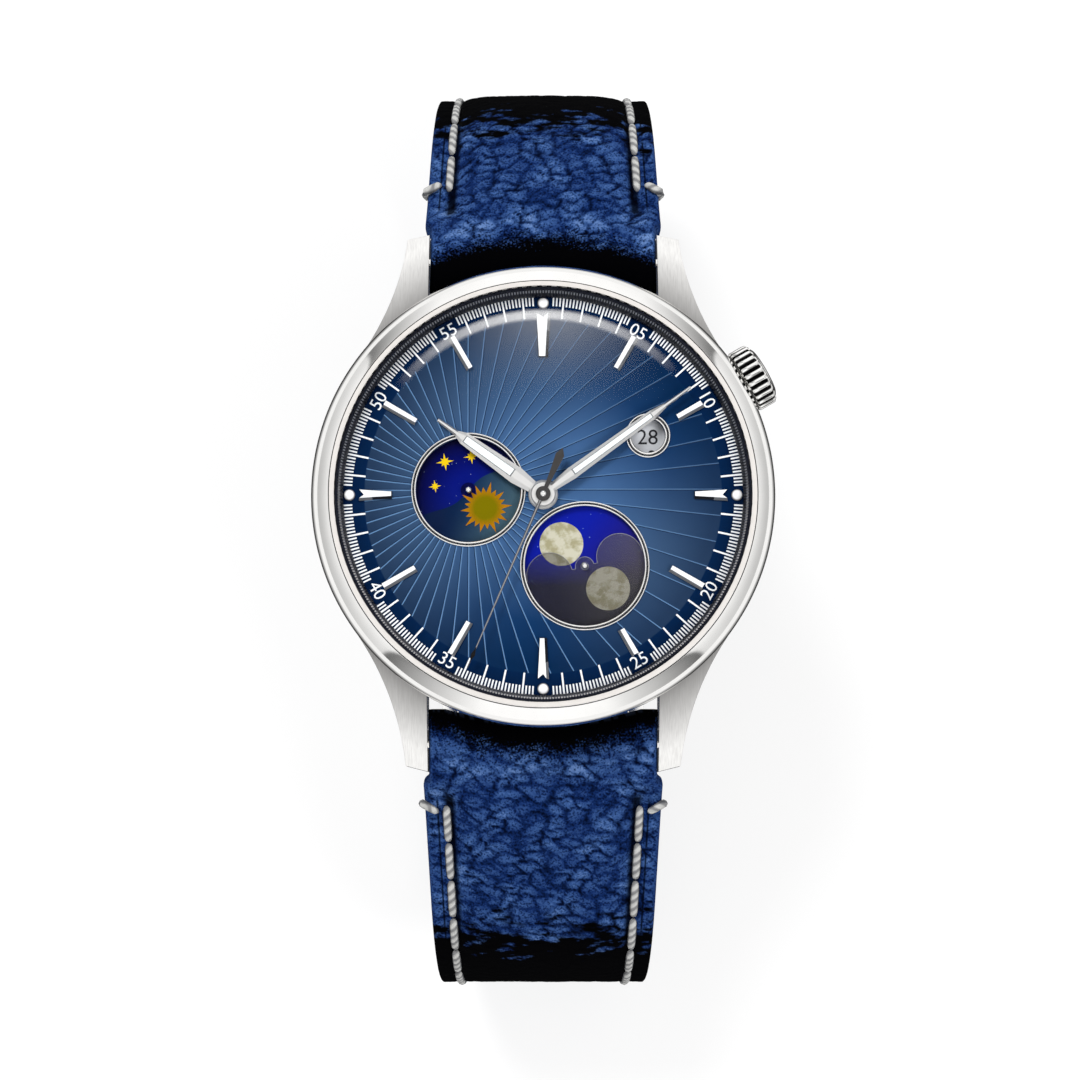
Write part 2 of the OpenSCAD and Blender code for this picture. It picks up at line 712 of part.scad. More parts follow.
module barrel_bridge() color("gainsboro") in_movement() difference() {
    union() {
        bridge_half(bridge_split);
        feet(barrel_feet);
    }
    pillar(second_at, bridge_z - 1, jewel_r, through);
    pillar(barrel_at, bridge_z - 1, barrel_arbor_r + slide_gap, through);
    for (p = [reverser_at, reduction_at]) pillar(p, bridge_z - 1, pivot_r + pivot_gap, through);
    screw_seats(barrel_feet);
    clamp_holes();
}

rotor_post_r = 0.65;
module train_bridge() color("gainsboro") in_movement() difference() {
    union() {
        translate([0, 0, bridge_z]) linear_extrude(bridge_t) difference() {
            circle(move_r - bridge_edge);
            translate([-through, bridge_split - split_gap]) square([2 * through, through]);
            bar_2d(balance_at, 2 * balance_at, balance_r + 0.5);
            bar_2d(balance_at, cock_foot_at, cock_w / 2 + split_gap);
            bar_2d(cock_foot_at, cock_foot_at + balance_at, cock_w / 2 + 2 * split_gap);
        }
        pillar(centre_at, web_z - run_gap, rotor_post_r, bridge_z - web_z + run_gap + eps);
        feet(train_feet);
    }
    for (p = [third_at, escape_at]) pillar(p, bridge_z - 1, jewel_r, through);
    pillar(centre_at, train_z - jewel_t, jewel_r, through);
    screw_seats(train_feet);
    clamp_holes();
}

module balance_cock() color("gainsboro") in_movement() difference() {
    union() {
        translate([0, 0, bridge_z]) linear_extrude(bridge_t)
            bar_2d(balance_at, cock_foot_at, cock_w / 2);
        pillar(cock_foot_at, train_z - eps, cock_w / 2 - 0.1, plate_z - train_z + eps);
    }
    pillar(balance_at, bridge_z - 1, jewel_r, through);
    screw_seats([cock_foot_at]);
}

// Pallet cock: a small bridge between the balance and the pallet fork
module pallet_cock() color("gainsboro") in_movement() difference() {
    union() {
        translate([0, 0, pallet_cock_z]) linear_extrude(pallet_cock_t)
            bar_2d(pallet_feet[0], pallet_feet[1], 1.5 * small_screw_r);
        for (p = pallet_feet) pillar(p, pallet_cock_z, 1.5 * small_screw_r, plate_z - pallet_cock_z);
    }
    pillar(pallet_at, 0, pivot_r + pivot_gap, through);
    for (p = pallet_feet) pillar(p, pallet_cock_z - 1, small_screw_r, 1.15);
}

// A jewel with its pivot hole
module jewel(p, z, bore) ring(p, z, jewel_r, bore + pivot_gap, jewel_t);
module jewels() color("crimson") in_movement() {
    for (p = [second_at, third_at, escape_at, balance_at, centre_at])
        jewel(p, train_z - jewel_t, pivot_r);
    for (p = [third_at, escape_at, balance_at, pallet_at]) jewel(p, plate_z, pivot_r);
    for (p = [second_at, centre_at]) jewel(p, plate_z, arbor_r);
}

// A slotted screw, its head sunk in a bridge
module screw(p, z, r, h) difference() {
    pillar(p, z - h / 3, r, h * 4 / 3);
    translate([p[0] - 1, p[1] - 0.08, z - h]) cube([2, 0.16, h]);
}
module bridge_screws() color("steelblue") in_movement() {
    for (p = concat(barrel_feet, train_feet, [cock_foot_at])) screw(p, bridge_z, screw_r, screw_h);
    for (p = pallet_feet) screw(p, pallet_cock_z, small_screw_r, 0.15);
}

barrel_wall = 0.2;
barrel_lid = 0.15;
module barrel() color("gold") in_movement() difference() {
    union() {
        pillar(barrel_at, barrel_z, barrel_r, barrel_h);
        gear(barrel_at, barrel_z, barrel_teeth, barrel_module, pinion_h,
            direction(barrel_at, second_at));
    }
    pillar(barrel_at, barrel_z + barrel_lid, barrel_r - barrel_wall, barrel_h - 2 * barrel_lid);
    pillar(barrel_at, 0, barrel_arbor_r + slide_gap, through);
}

spring_t = 0.15;
drum_r = 1.15;
module mainspring() color("lightsteelblue") in_movement()
    spiral(barrel_at, barrel_z + barrel_lid + slide_gap, drum_r + spring_t,
        barrel_r - barrel_wall - spring_t, 5, spring_t, barrel_h - 2 * (barrel_lid + slide_gap));

// The barrel's arbor with the wheel that winds it
module ratchet_wheel() color("silver") in_movement() difference() {
    union() {
        wheel(barrel_at, wind_z3, ratchet_teeth, ratchet_module, wheel_t,
            direction(barrel_at, reduction_at) + 180 / ratchet_teeth, 6);
        pillar(barrel_at, wind_z3, barrel_arbor_r, plate_z - wind_z3 + plate_t / 2);
        pillar(barrel_at, barrel_z + barrel_lid + slide_gap, drum_r,
            barrel_h - 2 * (barrel_lid + slide_gap));
    }
    pillar(barrel_at, wind_z3 - 1, pivot_r, 1 + 2 * wheel_t);
}

// Arbors of the train, each a pinion and a wheel on one axle
module second_wheel() color("gold") in_movement() {
    arbor(second_at, train_z - pivot_len, plate_z, 0.3);
    pillar(second_at, plate_z - eps, arbor_r, minute_gear_z + 0.3 - plate_z);
    gear(second_at, barrel_z - slide_gap, second_pinion_teeth, barrel_module,
        pinion_h + 2 * slide_gap, direction(second_at, barrel_at) + 180 / second_pinion_teeth);
    wheel(second_at, second_z, second_teeth, second_module, wheel_t,
        direction(second_at, third_at));
}

module third_wheel() color("gold") in_movement() {
    arbor(third_at, train_z - pivot_len, plate_z + pivot_len, 0.18);
    gear(third_at, second_z - slide_gap, third_pinion_teeth, second_module, pinion_h,
        direction(third_at, second_at) + 180 / third_pinion_teeth);
    wheel(third_at, third_z, third_teeth, third_module, wheel_t, direction(third_at, centre_at));
}

module fourth_wheel() color("gold") in_movement() {
    arbor(centre_at, train_z - pivot_len, plate_z, 0.2);
    pillar(centre_at, plate_z - eps, arbor_r, seconds_pin_top - plate_z + eps);
    gear(centre_at, third_z - slide_gap, fourth_pinion_teeth, third_module, pinion_h,
        direction(centre_at, third_at) + 180 / fourth_pinion_teeth);
    wheel(centre_at, fourth_z, fourth_teeth, escape_module, wheel_t,
        direction(centre_at, escape_at));
}

// Escape wheel with hooked teeth
escape_teeth = 15;
escape_r = 1.9;
module escape_wheel() color("silver") in_movement() {
    arbor(escape_at, train_z - pivot_len, plate_z + pivot_len, 0.15);
    gear(escape_at, fourth_z - slide_gap, escape_pinion_teeth, escape_module, pinion_h,
        direction(escape_at, centre_at) + 180 / escape_pinion_teeth);
    translate([escape_at[0], escape_at[1], escape_z]) linear_extrude(wheel_t) difference() {
        polygon([for (i = [0 : escape_teeth - 1])
            for (p = [[-8, 0.72], [4, 0.98], [6, 1], [9, 0.74]])
            polar(escape_r * p[1], i * 360 / escape_teeth + p[0])]);
        for (i = [0 : 3]) rotate(i * 90) translate([0.42 * escape_r, 0]) circle(0.2 * escape_r);
    }
}

// Pallet fork: two arms towards the escape wheel and a lever to the balance's roller
roller_r = 0.5;
fork_gap = 0.1;
fork_len = norm(balance_at - pallet_at) - roller_r - fork_gap;
fork_w = 0.6;
arm_tip = [-0.62, 1.15];
module pallet_fork() color("silver") in_movement() {
    pillar(pallet_at, pallet_cock_z + slide_gap, pivot_r, plate_z + pivot_len - pallet_cock_z -
        slide_gap);
    translate([pallet_at[0], pallet_at[1], escape_z]) rotate(fork_way) linear_extrude(wheel_t) {
        circle(fork_w / 2);
        translate([0, -fork_w / 5]) square([fork_len, fork_w * 2 / 5]);
        translate([fork_len - fork_w / 3, -fork_w / 2]) square([fork_w / 3, fork_w]);
        for (s = [-1, 1]) bar_2d([0, 0], [arm_tip[0], s * arm_tip[1]], 0.08);
    }
}

// Balance: a rim on three arms, over a roller whose pin faces the fork
balance_rim = 0.35;
balance_arm = 0.4;
staff_r = 0.25;
roller_t = 0.1;
impulse_r = 0.06;
roller_z = escape_z - slide_gap - roller_t;
module balance_wheel() color("gold") in_movement() {
    pillar(balance_at, train_z - pivot_len, pivot_r, plate_z - train_z + 2 * pivot_len);
    pillar(balance_at, train_z + end_shake, staff_r, roller_z - train_z - end_shake + eps);
    pillar(balance_at, roller_z, roller_r, roller_t);
    pillar(balance_at + polar(roller_r - 1.5 * impulse_r, fork_way + 180), roller_z + eps,
        impulse_r, roller_t + wheel_t);
    ring(balance_at, balance_z, balance_r, balance_r - balance_rim, balance_t);
    for (i = [0 : 2]) translate([balance_at[0], balance_at[1], balance_z + balance_t / 4])
        rotate([0, 0, 90 + i * 120]) translate([0, -balance_arm / 2, 0])
        cube([balance_r - balance_rim / 2, balance_arm, balance_t / 2]);
}

hairspring_t = 0.08;
hairspring_h = 0.16;
collet_r = 0.38;
module hairspring() color("slateblue") in_movement() {
    ring(balance_at, hairspring_z, collet_r, staff_r, hairspring_h);
    spiral(balance_at, hairspring_z, collet_r, 2.4, 4, hairspring_t, hairspring_h, 24);
}

// The minute wheel's first tooth points at the middle, and its neighbours are turned to fit
minute_first = direction(minute_at, centre_at);
motion_h = 0.24;
module driving_pinion() color("silver") in_movement() difference() {
    gear(second_at, minute_gear_z, cannon_teeth, motion_module, motion_h,
        meshing(minute_teeth, minute_first, minute_at, second_at, cannon_teeth));
    pillar(second_at, 0, arbor_r + pivot_gap, through);
}

module minute_wheel() color("gold") in_movement() {
    pillar(minute_at, plate_top - 0.5, pivot_r, 0.7);
    wheel(minute_at, minute_gear_z, minute_teeth, motion_module, wheel_t, minute_first, 4);
    gear(minute_at, minute_gear_z, minute_pinion_teeth, motion_module,
        hour_gear_z + wheel_t - minute_gear_z, minute_first + 180 / minute_pinion_teeth);
}

module setting_wheel() color("gold") in_movement() {
    pillar(setting_at, plate_top - 0.5, pivot_r, 0.7);
    gear(setting_at, minute_gear_z, setting_teeth, motion_module, wheel_t,
        meshing(minute_teeth, minute_first, minute_at, setting_at, setting_teeth));
}

module cannon_pinion() color("silver") in_movement() difference() {
    union() {
        gear(centre_at, minute_gear_z, cannon_teeth, motion_module, motion_h,
            direction(centre_at, minute_at) + 180 / cannon_teeth);
        pillar(centre_at, minute_gear_z, cannon_r, minute_hand_z + hand_t - minute_gear_z);
    }
    pillar(centre_at, 0, cannon_bore_r, through);
}

// Hour wheel: its lower teeth meet the minute pinion, its upper teeth the day and night disc
module hour_wheel() color("gold") in_movement() difference() {
    union() {
        wheel(centre_at, hour_gear_z, hour_teeth, motion_module, wheel_t,
            direction(centre_at, minute_at), 6);
        pillar(centre_at, hour_gear_z, hour_tube_r, hour_hand_z + hand_t - hour_gear_z);
        gear(centre_at, disc_gear_z, hour_teeth, day_module, disc_gear_t,
            direction(centre_at, sun_pos) - crown_angle);
    }
    pillar(centre_at, 0, hour_bore_r, through);
}

date_out = 1.75;
date_in = 1.75;
date_tooth = 0.3;
module date_ring() color("white") in_movement() translate([0, 0, date_z]) linear_extrude(date_t)
    difference() {
        circle(date_r + date_out);
        polygon([for (i = [0 : date_teeth - 1]) for (p = [[-0.3, 0], [0, date_tooth], [0.3, 0]])
            polar(date_r - date_in - p[1], (i + p[0]) * 360 / date_teeth)]);
    }

// A disc under a window, on a pivot in the mainplate
disc_hub_r = 0.4;
module window_disc(p, r) {
    pillar(p, plate_top - pivot_len + run_gap, pivot_r, disc_z - plate_top + pivot_len);
    pillar(p, date_z - run_gap, disc_hub_r, disc_z - date_z + run_gap + eps);
    pillar(p, disc_z, r, disc_t);
    pillar(p, disc_z, disc_pin_r, dial_top + run_gap - disc_z);
}

module moon_disc() color("navy") in_case() {
    window_disc(moon_pos, moon_window_r + mask_lap);
    translate([moon_x, moon_y, disc_gear_z]) linear_extrude(disc_gear_t)
        polygon([for (i = [0 : moon_teeth - 1]) for (p = [[-0.3, -0.2], [0.2, 0]])
            polar(moon_gear_r + p[1], (i + p[0]) * 360 / moon_teeth)]);
}

module day_night_disc() color("darkblue") in_case() {
    window_disc(sun_pos, sun_window_r + mask_lap);
    gear(sun_pos, disc_gear_z, day_teeth, day_module, disc_gear_t,
        direction(sun_pos, centre_at) + 180 / day_teeth);
}

// Rotor: a thin web with round windows and a heavy rim over half a turn
rotor_turn = 200;
rotor_hub_r = 2.4;
rim_w = 2.2;
module half_plane() translate([-through, -2 * through]) square(2 * through);
module rotor() color("silver") in_case() difference() {
    union() {
        rotate([0, 0, rotor_turn]) {
            translate([0, 0, rotor_low]) linear_extrude(rim_t) intersection() {
                difference() {
                    circle(rotor_r);
                    circle(rotor_r - rim_w);
                }
                half_plane();
            }
            translate([0, 0, web_z]) linear_extrude(web_t) difference() {
                union() {
                    intersection() {
                        circle(rotor_r - rim_w + eps);
                        half_plane();
                    }
                    circle(rotor_hub_r);
                }
                for (a = [-150, -90, -30]) rotate(a) translate([(rotor_r - rim_w + rotor_hub_r) / 2, 0])
                    circle(0.3 * (rotor_r - rim_w - rotor_hub_r));
            }
        }
        pillar(centre_at, web_z, 1.1, wind_z1 - web_z + eps);
        gear(centre_at, wind_z1, rotor_teeth, reverser_module, wheel_t,
            direction(centre_at, reverser_at) + crown_angle);
    }
    pillar(centre_at, -1, rotor_post_r + slide_gap, through);
}

module rotor_screw() color("steelblue") in_movement() difference() {
    pillar(centre_at, rotor_low + run_gap, 2 * rotor_post_r, web_z - rotor_low - 2 * run_gap);
    translate([-2, -0.12, rotor_low]) cube([4, 0.24, 0.2]);
}

module reverser_wheel() color("silver") in_movement() {
    pillar(reverser_at, wind_z1, pivot_r, bridge_z + 0.5 - wind_z1);
    gear(reverser_at, wind_z1, reverser_teeth, reverser_module, wheel_t,
        direction(reverser_at, centre_at) + 180 / reverser_teeth);
    gear(reverser_at, wind_z1, reverser_pinion_teeth, reduction_module, wind_z2 + wheel_t - wind_z1,
        direction(reverser_at, reduction_at) + 180 / reverser_pinion_teeth);
}

module reduction_wheel() color("gold") in_movement() {
    pillar(reduction_at, wind_z2, pivot_r, bridge_z + 0.5 - wind_z2);
    wheel(reduction_at, wind_z2, reduction_teeth, reduction_module, wheel_t,
        direction(reduction_at, reverser_at));
    gear(reduction_at, wind_z2, reduction_pinion_teeth, ratchet_module, wind_z3 + wheel_t - wind_z2,
        direction(reduction_at, barrel_at));
}

// A hand lies along +X and is turned clockwise from 12
module hand(z, turn) in_case() translate([0, 0, z]) rotate([0, 0, 90 - turn]) children();

// A hand with a boss: it widens to the belly, narrows to a shoulder and runs out in a thin tip
module leaf_hand(len, boss, bore, belly, shoulder, neck, tip, slot_in) difference() {
    union() {
        cylinder(r = boss, h = hand_t);
        linear_extrude(hand_t) polygon([[0, belly[1] / 2], [belly[0], belly[1]],
            [shoulder[0], shoulder[1]], [neck[0], neck[1]], [len, tip], [len, -tip],
            [neck[0], -neck[1]], [shoulder[0], -shoulder[1]], [belly[0], -belly[1]],
            [0, -belly[1] / 2]]);
    }
    translate([0, 0, -1]) cylinder(r = bore, h = 2 + hand_t);
    translate([0, 0, -1]) linear_extrude(2 + hand_t) polygon([[slot_in, -0.43 * belly[1]],
        [shoulder[0] - 0.2, -0.43 * shoulder[1]], [shoulder[0] - 0.2, 0.43 * shoulder[1]],
        [slot_in, 0.43 * belly[1]]]);
}

module hour_hand() color("white") hand(hour_hand_z, hour_dir)
    leaf_hand(hour_hand_len, 1.4, hour_tube_r, [3.1, 0.84],
        [hour_hand_len - 3, 0.6], [hour_hand_len - 2.2, 0.28], 0.17, 3.6);

minute_hand_len = flange_r - minute_hand_gap;
module minute_hand() color("white") hand(minute_hand_z, minute_dir)
    leaf_hand(minute_hand_len, 1.2, cannon_r, [3.3, 0.6],
        [minute_hand_len - 4.4, 0.45], [minute_hand_len - 3, 0.22], 0.12, 3.6);

seconds_tail = 4.7;
module seconds_hand() color("dimgray") hand(seconds_hand_z, seconds_dir) difference() {
    union() {
        cylinder(r = 0.7, h = seconds_t);
        linear_extrude(seconds_t) polygon([[0, 0.2], [flange_r - seconds_hand_gap, 0.1],
            [flange_r - seconds_hand_gap, -0.1], [0, -0.2], [-2, -0.25],
            [0.7 - seconds_tail, -0.42], [-seconds_tail, 0], [0.7 - seconds_tail, 0.42],
            [-2, 0.25]]);
    }
    translate([0, 0, -1]) cylinder(r = arbor_r, h = 2 + seconds_t);
}

// Crown: a fluted drum with a domed cap, on the end of the stem
flute_r = 0.26;
stem_end = 1.2;
module crown() color("gainsboro") in_movement() translate([crown_x, 0, stem_z]) rotate([0, 90, 0])
    difference() {
        union() {
            linear_extrude(crown_len) difference() {
                circle(crown_r);
                for (i = [0 : crown_flutes - 1]) rotate(i * 360 / crown_flutes)
                    translate([crown_r + 0.1, 0]) circle(flute_r, $fn = 24);
            }
            translate([0, 0, crown_len]) cylinder(r1 = crown_r - 0.15, r2 = crown_r - 0.75,
                h = crown_cap_h);
        }
        pillar(centre_at, -1, tube_r + run_gap, 1 + tube_end + run_gap);
        pillar(centre_at, -1, stem_r, 1 + stem_end);
    }

stem_square = 0.5;
stem_square_x = 5.9;
module winding_stem() color("silver") in_movement() translate([0, 0, stem_z]) {
    rotate([0, 90, 0]) pillar(centre_at, stem_boss_x, stem_r, crown_x + stem_end - stem_boss_x);
    translate([stem_square_x, -stem_square / 2, -stem_square / 2])
        cube([stem_boss_x + run_gap - stem_square_x, stem_square, stem_square]);
}

sliding_teeth = 16;
module sliding_pinion() color("silver") in_movement() translate([sliding_x, 0, stem_z])
    rotate([0, 90, 0]) difference() {
        linear_extrude(sliding_len) polygon([for (i = [0 : sliding_teeth - 1])
            for (p = [[-0.25, 0.8], [-0.12, 1], [0.12, 1], [0.25, 0.8]])
            polar(sliding_r * p[1], (i + p[0]) * 360 / sliding_teeth)]);
        translate([-stem_square / 2 - slide_gap, -stem_square / 2 - slide_gap, -1])
            cube([stem_square + 2 * slide_gap, stem_square + 2 * slide_gap, 2 + sliding_len]);
    }

// Strap path in the Y-Z plane: each station is [y, z, heading, distance from the bar]
function line_on(s, len, n) = [for (i = [1 : n])
    [s[0] + len * i / n * cos(s[2]), s[1] + len * i / n * sin(s[2]), s[2], s[3] + len * i / n]];
function bend_on(s, r, turn, n) = [for (i = [1 : n]) let (a = s[2] - turn * i / n)
    [s[0] + r * (sin(s[2]) - sin(a)), s[1] + r * (cos(a) - cos(s[2])), a,
        s[3] + r * turn * i / n * PI / 180]];
function end_of(v) = v[len(v) - 1];

// The strap leaves the lugs at full slope, bends down, bends back to level and runs to end_y
in_lugs = (lug_end + 2 * layer_gap) / cos(strap_slope);
widening = 0.5;
function strap_path(reach, floor_z, end_y) =
    let (start = [bar_y, bar_height, -strap_slope, 0],
        across = reach - edge_t / 2 - bar_y - upper_bend_r * (1 - sin(strap_slope)),
        held = line_on(start, in_lugs, 1),
        wide = line_on(end_of(held), widening, 1),
        slope = line_on(end_of(wide), across / cos(strap_slope) - in_lugs - widening, 4),
        upper = bend_on(end_of(slope), upper_bend_r, 90 - strap_slope, 8),
        down = line_on(end_of(upper), end_of(upper)[1] - floor_z - lower_bend_r, 2),
        lower = bend_on(end_of(down), lower_bend_r, 90, 9),
        level = line_on(end_of(lower), end_of(lower)[0] - end_y, 8))
    concat([start], held, wide, slope, upper, down, lower, level);

// Width and padding of the strap at a distance from the bar
function width_at(s) = s < in_lugs + widening / 2 ? lug_w
    : max(tail_w, strap_w - (strap_w - tail_w) * s / taper_len);
pad_start = 0.56;
pad_rise = 12;
function pad_at(s) = pad_h * min(1, pad_start + s / pad_rise) * max(0, 1 - s / pad_len);

// Cross-section: flat inner face, edges, and a padded middle on the outer face
edge_cut = 0.5;
flat_w = 2.6;
pad_side = 4.6;
function strap_ring(s) = let (w = width_at(s[3]) / 2, e = edge_t / 2, p = pad_at(s[3]))
    [for (q = [[-w, 0.3 * e], [-w + edge_cut, e], [-w + flat_w, e], [-w + pad_side, e + 0.75 * p],
        [0, e + p], [w - pad_side, e + 0.75 * p], [w - flat_w, e], [w - edge_cut, e],
        [w, 0.3 * e], [w, -0.5 * e], [w - edge_cut, -e], [-w + edge_cut, -e], [-w, -0.5 * e]])
        [q[0], s[0] + q[1] * cos(s[2] + 90), s[1] + q[1] * sin(s[2] + 90)]];
ring_points = 13;
module sweep(path) {
    n = ring_points;
    m = len(path);
    polyhedron(points = [for (s = path) each strap_ring(s)],
        faces = concat([[for (i = [0 : n - 1]) i]], [[for (i = [n - 1 : -1 : 0]) (m - 1) * n + i]],
            [for (j = [0 : m - 2]) for (i = [0 : n - 1]) each
                [[j * n + i, (j + 1) * n + i, j * n + (i + 1) % n],
                [(j + 1) * n + i, (j + 1) * n + (i + 1) % n, j * n + (i + 1) % n]]]),
        convexity = 6);
}

// Short strap: from the bar at 12 o'clock to the eye that holds the buckle's pin
tang_slot_len = 3;
module strap_short() color("royalblue") difference() {
    union() {
        sweep(strap_path(reach_12, short_mid, -pin_y));
        cross_bar(bar_y, bar_height, roll_r, lug_w);
        cross_bar(-pin_y, short_mid, eye_r, tail_w);
    }
    cross_bar(bar_y, bar_height, bar_r + slide_gap, through);
    cross_bar(-pin_y, short_mid, pin_r + slide_gap, through);
    translate([-tang_w / 2 - tang_gap, -pin_y - tang_slot_len, short_mid - eye_r - 1])
        cube([tang_w + 2 * tang_gap, tang_slot_len + eye_r + tang_gap, 2 * eye_r + 2]);
}

// Long strap: from the bar at 6 o'clock past the buckle to its rounded tip
strap_hole_r = 1;
tip_round_r = 14;
module strap_long() color("royalblue") difference() {
    union() {
        mirror([0, 1, 0]) sweep(strap_path(reach_6, tail_mid, -tip_y));
        cross_bar(-bar_y, bar_height, roll_r, lug_w);
        translate([0, tip_y - eps, tail_mid - edge_t / 2]) linear_extrude(edge_t) intersection() {
            translate([0, -sqrt(tip_round_r * tip_round_r - tail_w * tail_w / 4)])
                circle(tip_round_r, $fn = 96);
            translate([-tail_w / 2, 0]) square([tail_w, tip_round_r]);
        }
    }
    cross_bar(-bar_y, bar_height, bar_r + slide_gap, through);
    for (i = [-1, 1, 2, 3]) pillar([0, used_hole_y - i * hole_step], -1, strap_hole_r,
        tail_mid + edge_t + 1);
    translate([-tang_w / 2 - layer_gap, used_hole_y - used_hole_len / 2, -1])
        cube([tang_w + 2 * layer_gap, used_hole_len, tail_mid + edge_t + 1]);
}

module spring_bars() color("silver") for (b = [-1, 1]) {
    cross_bar(b * bar_y, bar_height, bar_r, lug_w - 2 * seat_gap);
    cross_bar(b * bar_y, bar_height, bar_tip_r, lug_gap + 2 * bar_hole - 4 * slide_gap);
}

// Buckle frame: two arms from the pin down to the front bar, which is notched for the tang
arm_r = 1.1;
front_bar_w = 0.8;
module buckle_frame() color("silver") difference() {
    union() {
        for (x = [-arm_in - buckle_arm_w, arm_in]) translate([x, 0, 0]) rotate([90, 0, 90])
            linear_extrude(buckle_arm_w) bar_2d([-pin_y, short_mid], [front_y, arm_r], arm_r);
        translate([-arm_in - eps, 0, 0]) rotate([90, 0, 90]) linear_extrude(2 * (arm_in + eps))
            bar_2d([front_y - front_bar_w / 2, front_bar_h / 2],
                [front_y + front_bar_w / 2, front_bar_h / 2], front_bar_h / 2);
    }
    cross_bar(-pin_y, short_mid, pin_tip_r + slide_gap, 2 * (arm_in + pin_end));
    translate([-tang_w / 2 - run_gap, front_y - buckle_len / 2, -1])
        cube([tang_w + 2 * run_gap, buckle_len, 1 + tang_low + tang_tip_t + run_gap]);
}

module buckle_pin() color("silver") {
    cross_bar(-pin_y, short_mid, pin_r, 2 * (arm_in - run_gap));
    cross_bar(-pin_y, short_mid, pin_tip_r, 2 * (arm_in + pin_end - run_gap));
}

// Tang: an eye on the pin, a step down through the used hole, and a tip on the front bar
tang_step = 1.6;
tang_end = 0.9;
module tang_side() polygon([[-pin_y, short_mid - tang_end], [-pin_y - tang_step, short_mid - tang_end],
    [-pin_y - 2.75 * tang_step, tang_low], [front_y - tang_end, tang_low],
    [front_y - tang_end, tang_low + tang_tip_t], [used_hole_y - used_hole_len / 2,
    tang_low + tang_tip_t + run_gap], [-pin_y - tang_step - 1.3, short_mid + tang_low],
    [-pin_y - tang_step, short_mid + tang_end], [-pin_y, short_mid + tang_end]]);
module buckle_tang() color("silver") difference() {
    union() {
        translate([-tang_w / 2, 0, 0]) rotate([90, 0, 90]) linear_extrude(tang_w) tang_side();
        cross_bar(-pin_y, short_mid, eye_r, tang_w);
    }
    cross_bar(-pin_y, short_mid, pin_r + slide_gap, through);
}

// A keeper: a leather loop round both layers of the strap
keeper_round = 1;
module keeper(y) color("midnightblue") translate([0, y + keeper_w / 2, 0]) rotate([90, 0, 0])
    linear_extrude(keeper_w) difference() {
        rounded(2 * (arm_in + keeper_t), keeper_top + keeper_t, keeper_round);
        translate([-arm_in, keeper_t]) square([2 * arm_in, keeper_top - keeper_t]);
    }
module keeper_fixed() keeper(0);
module keeper_free() keeper(keeper_y);

case_middle();
bezel();
crystal();
gaskets();
flange_ring();
dial();
hour_markers();
marker_pearls();
sun_window_ring();
moon_window_ring();
date_window_ring();
moon_mask();
case_back();
case_back_crystal();
crown_tube();
movement_holder();
mainplate();
train_bridge();
barrel_bridge();
balance_cock();
pallet_cock();
jewels();
bridge_screws();
casing_clamps();
barrel();
mainspring();
ratchet_wheel();
second_wheel();
third_wheel();
fourth_wheel();
escape_wheel();
pallet_fork();
balance_wheel();
hairspring();
driving_pinion();
minute_wheel();
setting_wheel();
cannon_pinion();
hour_wheel();
date_ring();
moon_disc();
day_night_disc();
rotor();
rotor_screw();
reverser_wheel();
reduction_wheel();
hour_hand();
minute_hand();
seconds_hand();
crown();
winding_stem();
sliding_pinion();
strap_short();
strap_long();
spring_bars();
buckle_frame();
buckle_tang();
buckle_pin();
keeper_fixed();
keeper_free();
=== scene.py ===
import math

import bmesh
import bpy
import numpy as np
from mathutils import Matrix, Vector


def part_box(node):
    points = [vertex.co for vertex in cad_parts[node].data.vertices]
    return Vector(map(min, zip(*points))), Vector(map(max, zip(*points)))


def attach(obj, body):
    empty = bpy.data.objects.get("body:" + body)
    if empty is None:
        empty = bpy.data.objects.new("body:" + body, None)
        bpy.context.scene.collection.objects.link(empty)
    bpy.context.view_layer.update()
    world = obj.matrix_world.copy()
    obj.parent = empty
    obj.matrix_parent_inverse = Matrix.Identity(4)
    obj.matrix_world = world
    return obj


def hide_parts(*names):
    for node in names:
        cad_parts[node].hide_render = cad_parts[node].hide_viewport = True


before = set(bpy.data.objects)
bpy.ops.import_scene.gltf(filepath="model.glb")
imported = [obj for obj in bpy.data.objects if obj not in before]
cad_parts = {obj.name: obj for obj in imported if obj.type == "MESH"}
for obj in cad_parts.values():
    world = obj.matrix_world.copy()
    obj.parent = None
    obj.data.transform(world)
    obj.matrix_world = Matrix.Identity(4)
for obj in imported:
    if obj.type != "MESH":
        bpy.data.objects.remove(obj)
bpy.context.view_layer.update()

mm = 0.001
backHeight = 34.4  # the case back's outer face above the floor; case heights below start from it
print("frame loaded:", len(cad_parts), "nodes")


# Colours and shader maths

def rgb(red, green, blue, share=1.0):
    # screen values from 0 to 255, as a share of the linear values that a socket takes
    screen = np.array([red, green, blue]) / 255
    linear = np.where(screen <= 0.04045, screen / 12.92, ((screen + 0.055) / 1.055) ** 2.4)
    return tuple(float(value) * share for value in linear)


def allLinear(colours):
    return {name: rgb(*value) for name, value in colours.items()}


